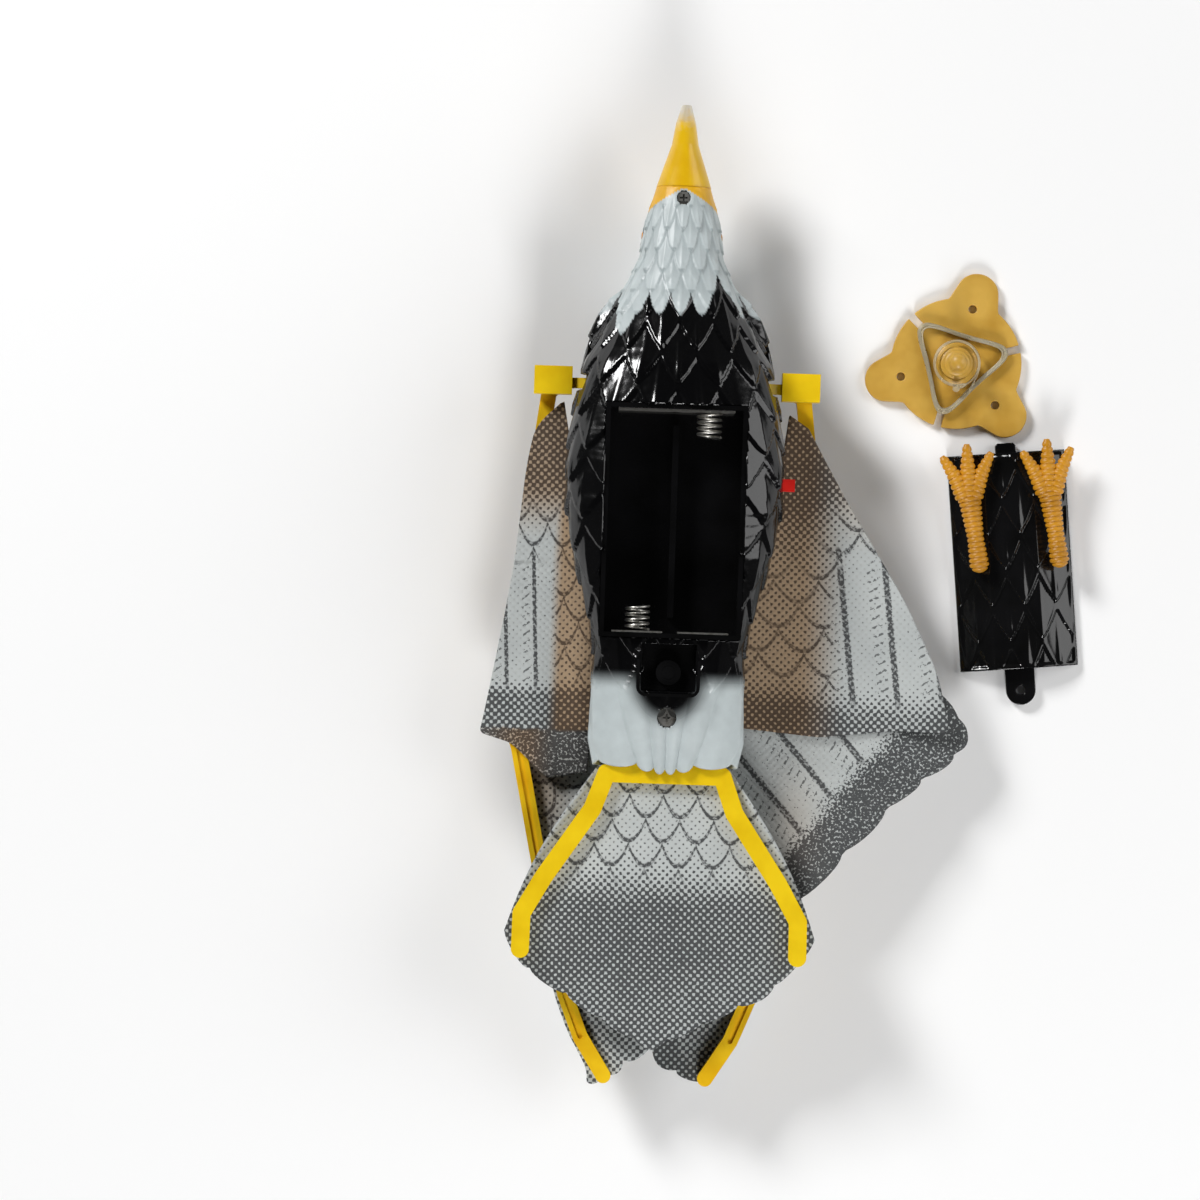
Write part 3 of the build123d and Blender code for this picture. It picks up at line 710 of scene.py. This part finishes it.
# Each row names a value, how it is made and its terms, which are earlier values, numbers or colours.
# RANGE terms are the value, its low and high end, and what they become. MIX is share, first, second.
RADIANS = math.tau / DOT_PITCH
SPECIAL = {"RANGE": ("ShaderNodeMapRange", {}, range(5), 0),
           "MIX": ("ShaderNodeMix", {"data_type": "RGBA"}, (0, 6, 7), 2)}
for result, operation, *terms in (
    # bond points and fibre grain
    ("turn across", "MULTIPLY", "across", RADIANS),
    ("turn down", "MULTIPLY", "down", RADIANS),
    ("wave across", "SINE", "turn across"),
    ("wave down", "SINE", "turn down"),
    ("lattice", "MULTIPLY", "wave across", "wave down"),
    ("centred fibre", "SUBTRACT", "fibre", 0.5),
    ("stipple", "MULTIPLY", "centred fibre", 5.0),
    # halftone: dots in the lattice on one side of the print, stipple on the other
    ("centred mottle", "SUBTRACT", "mottle", 0.5),
    ("uneven", "MULTIPLY", "centred mottle", 0.55),
    ("uneven shade", "MULTIPLY", "shade", "uneven"),
    ("dark", "ADD", "shade", "uneven shade"),
    ("dotted", "SUBTRACT", 1.0, "solid"),
    ("dots", "MULTIPLY", "lattice", "dotted"),
    ("specks", "MULTIPLY", "stipple", "solid"),
    ("screen", "ADD", "dots", "specks"),
    ("roughness of dots", "MULTIPLY", "stipple", 0.22),
    ("rough screen", "ADD", "screen", "roughness of dots"),
    ("double dark", "MULTIPLY", "dark", 2.0),
    ("threshold", "SUBTRACT", 1.0, "double dark"),
    ("above", "SUBTRACT", "rough screen", "threshold"),
    ("halftone", "RANGE", "above", -0.22, 0.22),
    # edge of each feather and the barbs on one side of it
    ("place in feather", "FRACT", "number"),
    ("within", "SUBTRACT", "place in feather", 0.5),
    ("wide", "ABSOLUTE", "within"),
    ("ragged", "MULTIPLY", "stipple", 0.02),
    ("ragged edge", "ADD", "wide", "ragged"),
    ("clean edge line", "RANGE", "ragged edge", 0.42, 0.45),
    ("grain of dots", "MULTIPLY", "lattice", 0.8),
    ("grain", "ADD", "stipple", "grain of dots"),
    ("grainy", "RANGE", "grain", -0.75, 0.1, 0.35, 1.0),
    ("edge line", "MULTIPLY", "clean edge line", "grainy"),
    ("barb rise", "MULTIPLY", "reach", 0.42),
    ("barb lean", "MULTIPLY", "wide", 2.2),
    ("barb count", "ADD", "barb rise", "barb lean"),
    ("slant", "FRACT", "barb count"),
    ("barb", "LESS_THAN", "slant", 0.26),
    ("past the quill", "GREATER_THAN", "within", 0.08),
    ("before the edge", "LESS_THAN", "within", 0.33),
    ("broken", "ADD", "stipple", "lattice"),
    ("inked", "GREATER_THAN", "broken", -0.15),
    ("long dashes", "MULTIPLY", "barb", "past the quill"),
    ("short dashes", "MULTIPLY", "long dashes", "before the edge"),
    ("dashes", "MULTIPLY", "short dashes", "inked"),
    ("pale dashes", "MULTIPLY", "dashes", 0.75),
    ("strokes", "MAXIMUM", "edge line", "pale dashes"),
    # scallops of the short feathers, in staggered rows
    ("rows", "DIVIDE", "reach", SCALLOP_ROW),
    ("row number", "FLOOR", "rows"),
    ("odd row", "MODULO", "row number", 2.0),
    ("stagger", "MULTIPLY", "odd row", 0.5),
    ("staggered", "ADD", "number", "stagger"),
    ("place in scallop", "FRACT", "staggered"),
    ("aside", "SUBTRACT", "place in scallop", 0.5),
    ("aside squared", "MULTIPLY", "aside", "aside"),
    ("bend", "MULTIPLY", "aside squared", 3.4),
    ("bow", "SUBTRACT", 0.93, "bend"),
    ("place in row", "FRACT", "rows"),
    ("signed gap", "SUBTRACT", "place in row", "bow"),
    ("gap", "ABSOLUTE", "signed gap"),
    ("rough line", "MULTIPLY", "stipple", 0.03),
    ("rough gap", "ADD", "gap", "rough line"),
    ("clean scallop", "RANGE", "rough gap", 0.13, 0.07),
    ("scallop", "MULTIPLY", "clean scallop", "grainy"),
    # ink on cloth
    ("long feathers", "SUBTRACT", 1.0, "covert"),
    ("long strokes", "MULTIPLY", "strokes", "long feathers"),
    ("short strokes", "MULTIPLY", "scallop", "covert"),
    ("all strokes", "ADD", "long strokes", "short strokes"),
    ("room for strokes", "RANGE", "dark", 0.5, 0.25),
    ("drawn", "MULTIPLY", "all strokes", "room for strokes"),
    ("covered", "MAXIMUM", "halftone", "drawn"),
    ("ink", "MINIMUM", "covered", 0.93),
    ("white cloth", "MIX", "mottle", linear("#A9AEAE"), linear("#C6CAC8")),
    ("brown share", "MULTIPLY", "brown", 0.85),
    ("tinted cloth", "MIX", "brown share", "white cloth", linear("#A08058")),
    ("raised", "MAXIMUM", "lattice", 0.0),
    ("bond share", "MULTIPLY", "raised", 0.2),
    ("cloth", "MIX", "bond share", "tinted cloth", linear("#8F8D88")),
    ("ink colour", "MIX", "brown", linear("#2B2D2F"), linear("#3F2D1C")),
    ("colour", "MIX", "ink", "cloth", "ink colour"),
    ("sunken bonds", "MULTIPLY", "lattice", -0.5),
    ("bonded", "ADD", "sunken bonds", "fibre"),
):
    kind, fields, inputs, output = SPECIAL.get(
        operation, ("ShaderNodeMath", {"operation": operation}, (0, 1), 0))
    numbers = {key: term for key, term in zip(inputs, terms) if not isinstance(term, str)}
    wires = {key: value[term] for key, term in zip(inputs, terms) if isinstance(term, str)}
    value[result] = add_node(tree, kind, {**fields, **numbers}, wires).outputs[output]
tree.links.new(value["colour"], shader.inputs["Base Color"])
bump = add_node(tree, "ShaderNodeBump", {"Strength": 0.55, "Distance": 0.00018},
                {"Height": value["bonded"]})
tree.links.new(bump.outputs["Normal"], shader.inputs["Normal"])
rough = add_node(tree, "ShaderNodeMapRange", {3: 0.7, 4: 0.9}, {0: value["fibre"]})
tree.links.new(rough.outputs[0], shader.inputs["Roughness"])
shader.inputs["Sheen Weight"].default_value = 0.15


def sampled(points, shares):
    """Points of a boundary, given as (share, x, y), read at the shares and rounded a little."""
    table = np.array(points, float)
    fine = np.linspace(0, 1, 401)
    curve = []
    for column in (1, 2):
        line = np.interp(fine, table[:, 0], table[:, column])
        soft = np.convolve(np.pad(line, 8, mode="edge"), np.ones(17) / 17, mode="valid")
        soft[0], soft[-1] = line[0], line[-1]
        curve.append(np.interp(shares, fine, soft))
    return curve


def printed_sheet(name, root, edge, size, height, print_rule, lobes=(0, 0.0), bulge=0.0):
    """A sheet between its root line and its free edge. print_rule gives feather and tone at each place.
    lobes: number and depth of the scallops on the edge; bulge: how far the sides bow out."""
    down_count, along_count = size
    t, s = np.meshgrid(np.linspace(0, 1, along_count), np.linspace(0, 1, down_count))
    root_x, root_y = sampled(root, t[0])
    edge_x, edge_y = sampled(edge, t[0])
    count, depth = lobes
    scallop = depth * np.sqrt(np.abs(np.sin(np.pi * count * t[0])))
    run = np.hypot(edge_x - root_x, edge_y - root_y)
    stretch = 1 + (scallop - depth * 0.6) / np.maximum(run, 1)
    x = root_x + (edge_x - root_x) * s * (1 + (stretch - 1) * s**3)
    y = root_y + (edge_y - root_y) * s * (1 + (stretch - 1) * s**3)
    x = x + bulge * np.sin(np.pi * s) * (t - 0.5) * 2
    z = height(x, y, t, s)
    piece, order = grid_object(name, *x.shape)
    place_points(piece, order, x, y, z)
    (number, reach, covert), (brown, dark, side) = print_rule(x, y, t, s)
    for label, kind, fields in (("feather", "FLOAT_VECTOR", (number, reach, covert)),
                                ("tone", "FLOAT_COLOR", (brown, dark, side))):
        layer = piece.data.attributes.new(label, kind, "POINT")
        stack = np.ones((len(order), 4 if kind == "FLOAT_COLOR" else 3))
        stack[order, :3] = np.stack([np.broadcast_to(f, x.shape).ravel() for f in fields], axis=1)
        layer.data.foreach_set("color" if kind == "FLOAT_COLOR" else "vector",
                               stack.astype(np.float32).ravel())
    spots = np.zeros((len(order), 2))
    spots[order] = np.stack([x.ravel(), y.ravel()], axis=1) * MM
    corners = np.zeros(len(piece.data.loops), np.int32)
    piece.data.loops.foreach_get("vertex_index", corners)
    for old in list(piece.data.uv_layers):
        piece.data.uv_layers.remove(old)
    flat_map = piece.data.uv_layers.new(name="flat")
    flat_map.data.foreach_set("uv", spots[corners].astype(np.float32).ravel())
    piece.data.shade_smooth()
    add_wall(piece, CLOTH_WALL, 0.0)
    piece.data.materials.append(printed_cloth)
    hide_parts(name.replace("cloth", "sheet"))
    return piece


# Leading edge of the left wing: the spar's line from above, then read at the heights of LEAD_Y, so that
# each wing's sheet starts on its spar. The right wing mirrors it.
SPAR = [(-33.0, 2.5), (-36.0, -22.0), (-38.8, -48.0), (-42.6, -72.0), (-42.4, -81.0), (-38.2, -93.0),
        (-32.6, -119.5), (-28.6, -138.0), (-24.0, -157.0), (-19.6, -168.0), (-13.3, -178.0)]
LEAD_Y = [-14.0, -48.0, -72.0, -81.0, -93.0, -119.5, -138.0, -157.0, -168.0, -177.5]
spar_rows = np.array(SPAR)[::-1]
lead = [((LEAD_Y[0] - y) / (LEAD_Y[0] - LEAD_Y[-1]),
         float(np.interp(y, spar_rows[:, 1], spar_rows[:, 0])), y) for y in LEAD_Y]


def left_wing_height(x, y, t, s):
    rise = smoothstep(x, -36.0, 6.0)
    droop = smoothstep(x, 44.0, 84.0) * 8.0 + smoothstep(-y, 120.0, 180.0) * 1.5
    wave = 0.5 * np.sin(t * 60) * s**2
    return 14.55 + 4.6 * rise - droop + wave * rise


def left_wing_print(x, y, t, s):
    number = (0.755 * x + 0.656 * y + 34.6) / 12.0
    dark = 0.95 * smoothstep(s, 0.80, 0.90) * smoothstep(x, 4, 22) + 0.5 * smoothstep(-y, 132, 165)
    dark = np.maximum(dark, 0.8 * smoothstep(x - 0.35 * (y + 90), 58, 70))
    dark = np.maximum(dark, 0.25 * (1 - smoothstep(x, -30, -18)))
    brown = 0.75 * (1 - smoothstep(x, -34, -20)) * smoothstep(y, -125, -105)
    brown = brown + 0.35 * np.exp(-(((x - 34) / 7) ** 2) - ((y + 112) / 14) ** 2)
    covert = 1 - smoothstep(x, -22, -20)
    dark = np.clip(dark, 0.03, 0.78)
    return (number, 0.656 * x - 0.755 * y, covert), (brown, dark, smoothstep(x, 14, 18))


wing_cloth_left = printed_sheet(
    "wing_cloth_left",
    [(share, x - 0.8 - 2.2 * float(smoothstep(-y, 120.0, 160.0)), y) for share, x, y in lead],
    [(0, -32.0, -14.0), (0.10, -29.0, -40.0), (0.17, 36.0, -48.0), (0.26, 78.5, -81.0), (0.32, 78.5, -90.0),
     (0.45, 62.0, -103.0), (0.58, 40.5, -126.0), (0.72, 16.0, -160.0), (0.82, -3.5, -171.5),
     (0.9, -10.5, -177.0), (1.0, -18.0, -180.5)],
    (60, 150), left_wing_height, left_wing_print, (15, 2.6))
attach(wing_cloth_left, "wing_left")
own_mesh(wing_cloth_left)


def right_wing_height(x, y, t, s):
    return 14.5 - 2.6 * smoothstep(-x, -32.0, 20.0) + 0.3 * np.sin(t * 55) * s


def right_wing_print(x, y, t, s):
    dark = 0.62 * smoothstep(s, 0.72, 0.95) + 0.5 * smoothstep(-y, 140, 168) * smoothstep(s, 0.15, 0.5)
    brown = 0.8 * (1 - smoothstep(s, 0.28, 0.45)) * (1 - smoothstep(-y, 120, 150))
    covert = 1 - smoothstep(s, 0.3, 0.33)
    return (t * 17.0, s * 80, covert), (brown, np.clip(dark + 0.1, 0, 0.75), 0.0)


wing_cloth_right = printed_sheet(
    "wing_cloth_right",
    [(share, -x + 0.8 + 1.2 * float(smoothstep(-y, 120.0, 160.0)), y) for share, x, y in lead],
    [(0, 32.0, -14.0), (0.10, 29.0, -40.0), (0.2, -30.0, -50.0), (0.34, -40.0, -82.0),
     (0.45, -36.5, -104.0), (0.58, -29.0, -125.0), (0.72, -19.0, -145.0), (0.83, -4.0, -166.0),
     (0.92, 3.0, -176.5), (1.0, 15.0, -179.5)],
    (60, 150), right_wing_height, right_wing_print, (15, 2.4))
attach(wing_cloth_right, "wing_right")


def right_side_height(x, y, t, s):
    droop = 6.4 * smoothstep(x, 44.0, 82.0)
    return 20.9 - droop + 0.7 * np.sin(x * 0.16 + y * 0.05) * smoothstep(s, 0.2, 0.9)


def right_side_print(x, y, t, s):
    number = (x + 0.13 * (y + 70) - 47.5) / 11.8
    tip = -43.0 + 3.2 * np.abs(2 * (number - np.floor(number)) - 1) ** 2 * 2 + (x - 50) * 0.04
    covert = (y > tip) | (x < 43.0 + 1.5 * np.sin(y))
    shade = 0.42 * smoothstep(y, -36, -18) + 0.58 * smoothstep(-y, 72, 84)
    shade += 0.12 * (1 - smoothstep(x, 40, 52)) + 0.2 * smoothstep(x, 66, 76) * smoothstep(-y, 66, 80)
    brown = np.maximum(1 - smoothstep(x, 34, 47), 0.55 * smoothstep(y, -42, -20))
    patch = np.exp(-(((x - 33) / 9) ** 2) - ((y + 28) / 16) ** 2) + 0.7 * brown
    shade = np.clip(shade + 0.25 * patch, 0.02, 0.72)
    return (number, -y - 2, covert.astype(float)), (brown, shade, 0.12)


side_cloth_right = printed_sheet(
    "side_cloth_right",
    [(0, 20.5, -34.0), (0.35, 27.5, -20.0), (0.7, 29.5, -4.0), (1, 34.0, -7.0)],
    [(0, 18.5, -86.0), (0.3, 40.0, -87.8), (0.6, 60.0, -85.5), (0.72, 74.5, -85.8), (0.8, 70.8, -70.5),
     (0.88, 60.5, -50.0), (0.93, 53.0, -39.5), (0.96, 50.0, -34.5), (1, 35.0, -8.0)],
    (70, 110), right_side_height, right_side_print)
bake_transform(side_cloth_right)


def left_side_height(x, y, t, s):
    step = smoothstep(-y, 44.0, 45.2) * 0.8 + smoothstep(-y, 88.0, 89.0) * 0.9
    return 21.0 - step - 1.2 * smoothstep(-x, 40.0, 50.0) + 0.4 * np.sin(x * 0.5) * smoothstep(-y, 40, 80)


def left_side_print(x, y, t, s):
    number = (x + 35.0 + 0.05 * (y + 60)) / 7.6
    round_tip = -45.2 + 3.6 * (2 * (number - np.floor(number)) - 1) ** 2
    covert = (y > round_tip) | (x > -29.5)
    shade = 0.42 * smoothstep(y, -38, -20) + 0.58 * smoothstep(-y, 74, 80) + 0.03
    brown = np.maximum(smoothstep(x, -31.5, -28.0), smoothstep(y, -40, -24) * 0.9)
    shade = shade + 0.22 * brown
    flap = smoothstep(-y, 87.6, 88.4)
    shade = np.where(flap > 0.5, 0.72, shade)
    turned = 0.75 * smoothstep(x, -50, -38) * (1 - smoothstep(x, -36, -28)) + 0.15
    brown = np.where(flap > 0.5, turned, brown)
    shade = np.clip(shade, 0.02, 0.75)
    return (number, -y - 2, covert.astype(float)), (brown, shade, np.maximum(flap, 0.12))


side_cloth_left = printed_sheet(
    "side_cloth_left",
    [(0, -17.0, -36.0), (0.5, -26.0, -20.0), (1, -29.2, -2.5)],
    [(0, -20.0, -99.0), (0.2, -30.5, -100.8), (0.3, -40.0, -92.0), (0.42, -48.5, -89.5),
     (0.5, -47.4, -84.0), (0.66, -43.2, -60.0), (0.80, -40.8, -44.5), (0.83, -40.4, -40.0),
     (0.90, -38.6, -20.0), (0.96, -36.6, -9.0), (1, -30.2, -3.0)],
    (90, 130), left_side_height, left_side_print)
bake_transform(side_cloth_left)


def back_height(x, y, t, s):
    return np.full_like(x, 20.9)


def back_print(x, y, t, s):
    return (x / 8.4, -y, np.ones_like(x)), (0.9, 0.22, 0.6)


back_cloth = printed_sheet("back_cloth", [(0, -18.6, -37.5), (1, 18.6, -37.5)],
                           [(0, -18.6, -89.5), (1, 18.6, -89.5)], (40, 30), back_height, back_print)
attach(back_cloth, "bird")


def tail_height(x, y, t, s):
    droop = 5.5 * smoothstep(-y, 132, 175) + 2.2 * smoothstep(np.abs(x), 30, 44)
    return 29.45 - droop + 0.45 * np.sin(x * 0.3) * smoothstep(-y, 128, 150)


def tail_print(x, y, t, s):
    covert = np.ones_like(x)
    shade = 0.12 + 0.5 * smoothstep(-y, 118, 134) + 0.12 * np.exp(-((x / 26) ** 2) - ((y + 140) / 12) ** 2)
    return (x / 8.8, -y - 1.2, covert), (0.0, np.clip(shade, 0, 0.72), 0.1)


tail_cloth = printed_sheet(
    "tail_cloth",
    [(0, -17.5, -97.0), (1, 17.0, -97.0)],
    [(0, -40.5, -141.0), (0.1, -34.5, -150.0), (0.27, -19.5, -159.5), (0.5, -1.5, -170.5),
     (0.73, 17.5, -160.5),
     (0.87, 29.0, -155.0), (1, 40.8, -141.0)],
    (80, 100), tail_height, tail_print, (9, 1.2), 2.6)
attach(tail_cloth, "bird")
finish_node("tail_frame", socket_yellow)


# ---- Battery door ----
# An arched lid in gloss black ABS, moulded with pointed feathers like the belly's. It has a tongue at one
# end and a screw tab at the other, and lies beside the bird with the feet still pinned to it.
DOOR = Matrix.Translation(Vector((0.0903, -0.0399, 0))) @ Matrix.Rotation(math.radians(5.6), 4, "Z")
DOOR_HALF, DOOR_LONG = 15.5, 28.5       # half its width and length
ARCH_RADIUS, ARCH_TOP = 29.9, 5.9
DOOR_WALL, SKIRT = 1.0, 0.35            # skirt: height of the panel's bottom edge
across_line = np.concatenate([[-DOOR_HALF], np.linspace(-DOOR_HALF, DOOR_HALF, 96), [DOOR_HALF]])
along_line = np.concatenate([[-DOOR_LONG], np.linspace(-DOOR_LONG, DOOR_LONG, 170), [DOOR_LONG]])
y, x = np.meshgrid(along_line, across_line, indexing="ij")
arch = ARCH_TOP - ARCH_RADIUS + np.sqrt(ARCH_RADIUS**2 - x**2)
relief, _, _, _ = feather_rows((x + 2.0) / 34.0, y + 3.0, 4, 9.4, 9.4 * 1.9, 2.2)
inner = (smoothstep(DOOR_HALF - np.abs(x), 0.3, 1.6)
         * smoothstep(DOOR_LONG - np.abs(y), 0.3, 1.4))
z = arch - 0.15 + (1.4 * relief - 0.95) * inner
z = np.minimum(z, 6.6)
z[:, 0] = z[:, -1] = SKIRT
z[0, :] = z[-1, :] = SKIRT
door_piece, order = grid_object("door_feathers", *x.shape)
place_points(door_piece, order, x, y, z)
work = bmesh.new()
work.from_mesh(door_piece.data)
bmesh.ops.remove_doubles(work, verts=work.verts, dist=1e-5)
bmesh.ops.dissolve_degenerate(work, edges=work.edges, dist=1e-6)
work.to_mesh(door_piece.data)
work.free()
door_piece.data.transform(DOOR)
door_piece.data.shade_smooth()
add_wall(door_piece, DOOR_WALL)
door_piece.data.materials.append(black_abs)
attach(door_piece, "door")
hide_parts("battery_door")

TAB_ROUND, TAB_HOLE, TAB_Y = 3.7, 1.4, -34.2
tab_outline = [(-TAB_ROUND, -28.2), (-TAB_ROUND, TAB_Y)]
tab_outline += [(TAB_ROUND * math.cos(a), TAB_Y + TAB_ROUND * math.sin(a))
                for a in np.linspace(math.pi, math.tau, 20)[1:]]
tab_outline += [(TAB_ROUND, -28.2)]
hole_outline = [(TAB_HOLE * math.cos(a), TAB_Y + TAB_HOLE * math.sin(a))
                for a in np.linspace(0, math.tau, 25)[:-1]]
tongue_outline = [(-2.5, 28.3), (2.5, 28.3), (2.5, 30.4), (2.0, 30.9), (-2.0, 30.9), (-2.5, 30.4)]
door_tab = flat_plate("door_tab", [tab_outline, hole_outline, tongue_outline], 2.0, 0.2,
                      DOOR @ Matrix.Translation((0, 0, 0.0012)))
door_tab.data.materials.append(black_abs)
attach(door_tab, "door")


# ---- Feet ----
# Orange-tan polypropylene with a satin skin. Each leg and its three toes are moulded in one, ringed with
# close ribs, and a peg on the leg goes through the door.
foot_plastic = moulded_plastic("satin polypropylene, orange", "#D09018", "#AC740A", 0.4, 0.7, 0.06)
SPOKES = 20             # sides of a limb
LEG_RIB, TOE_RIB = 1.35, 1.5


def ribbed_limb(work, path, radii, rib):
    """A round limb along a path, flattened a little, with ribs round it and rounded ends."""
    table = np.array(path, float)
    run = np.concatenate([[0], np.cumsum(np.hypot(*np.diff(table[:, :2], axis=0).T))])
    stations = np.arange(0, run[-1] + 0.01, rib / 6)
    centres = np.stack([np.interp(stations, run, table[:, k]) for k in range(3)], axis=1)
    ways = np.gradient(centres[:, :2], axis=0)
    ways /= np.linalg.norm(ways, axis=1)[:, None]
    size = np.interp(stations, run, radii)
    near_end = np.clip(np.minimum(stations, run[-1] - stations) / size, 0.02, 1)
    rounding = np.sqrt(near_end * 2 - near_end**2)
    size = size * rounding * (0.82 + 0.24 * np.sqrt(np.abs(np.sin(np.pi * stations / rib))))
    rings = []
    for centre, way, r in zip(centres, ways, size):
        ring = []
        for a in np.linspace(0, math.tau, SPOKES + 1)[:-1]:
            side, lift = r * math.cos(a), 0.82 * r * math.sin(a)
            spot = Vector((centre[0] - way[1] * side, centre[1] + way[0] * side, centre[2] + lift))
            ring.append(work.verts.new(DOOR @ (spot * MM)))
        rings.append(ring)
    for one, two in zip(rings, rings[1:]):
        for k in range(SPOKES):
            work.faces.new((one[k], one[(k + 1) % SPOKES], two[(k + 1) % SPOKES], two[k]))
    work.faces.new(rings[0][::-1])
    work.faces.new(rings[-1])


for side, hole_x, hole_y in (("left", -9.1, -0.6), ("right", 12.0, -0.6)):
    ankle_x, ankle_y = hole_x - 1.6, hole_y + 17.0
    work = bmesh.new()
    ribbed_limb(work, [(hole_x + 0.1, hole_y - 2.0, 7.4), (hole_x - 0.6, hole_y + 7, 7.5),
                       (ankle_x, ankle_y + 2, 7.6)], [2.6, 2.1, 3.0], LEG_RIB)
    for toe_x, toe_y, thick in ((-6.6, 12.3, 1.95), (0.2, 15.2, 2.1), (6.7, 12.6, 1.95)):
        ribbed_limb(work, [(ankle_x + 0.1 * toe_x, ankle_y - 0.5, 7.6),
                           (ankle_x + 0.5 * toe_x, ankle_y + 0.52 * toe_y, 7.7),
                           (ankle_x + toe_x, ankle_y + toe_y, 7.5)], [2.5, thick, 0.95], TOE_RIB)
    bmesh.ops.create_cone(work, cap_ends=True, segments=24, radius1=0.0012, radius2=0.0012, depth=0.0034,
                          matrix=DOOR @ Matrix.Translation((hole_x * MM, hole_y * MM, 0.0052)))
    bmesh.ops.recalc_face_normals(work, faces=work.faces)
    foot = mesh_piece(f"ribbed_foot_{side}", work)
    foot.data.shade_smooth()
    foot.data.materials.append(foot_plastic)
    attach(foot, "door")
    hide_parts(f"foot_{side}")


# ---- Floor and light ----
# A white paper floor just under the object, three soft boxes round it, and a sky that is bright low down
# and dim overhead, so that gloss black stays black from above.
work = bmesh.new()
bmesh.ops.create_grid(work, x_segments=1, y_segments=1, size=3.0)
floor = mesh_piece("floor", work)
floor.location.z = -0.0002
floor_paper, tree, shader = new_material("matt paper, white")
place = add_node(tree, "ShaderNodeTexCoord").outputs["Object"]
tooth = add_node(tree, "ShaderNodeTexNoise", {"Scale": 900.0}, {"Vector": place})
bump = add_node(tree, "ShaderNodeBump", {"Strength": 0.1, "Distance": 0.00005},
                {"Height": tooth.outputs["Fac"]})
tree.links.new(bump.outputs["Normal"], shader.inputs["Normal"])
shader.inputs["Base Color"].default_value = (0.93, 0.93, 0.93, 1)
shader.inputs["Roughness"].default_value = 0.9
floor.data.materials.append(floor_paper)

sky = bpy.data.worlds.new("sky")
sky.use_nodes = True
direction = add_node(sky.node_tree, "ShaderNodeTexCoord").outputs["Generated"]
way_up = add_node(sky.node_tree, "ShaderNodeSeparateXYZ", links={0: direction}).outputs["Z"]
shade = add_node(sky.node_tree, "ShaderNodeMapRange", {1: 0.55, 2: 0.92, 3: 1.35, 4: 0.32}, {0: way_up})
sky.node_tree.links.new(shade.outputs[0], sky.node_tree.nodes["Background"].inputs[1])
scene.world = sky
for name, spot, size, power in (("key", (-0.75, 0.75, 0.75), 0.35, 14.0),
                                ("fill", (0.95, 0.2, 0.65), 0.8, 6.0),
                                ("front", (0.1, -1.05, 0.65), 0.35, 9.0)):
    lamp_data = bpy.data.lights.new(name, "AREA")
    lamp_data.size = size
    lamp_data.energy = power
    lamp = place_in_scene(name, lamp_data)
    lamp.location = spot
    aim = Vector((0.0, -0.05, 0.02)) - Vector(spot)
    lamp.rotation_euler = aim.to_track_quat("-Z", "Y").to_euler()
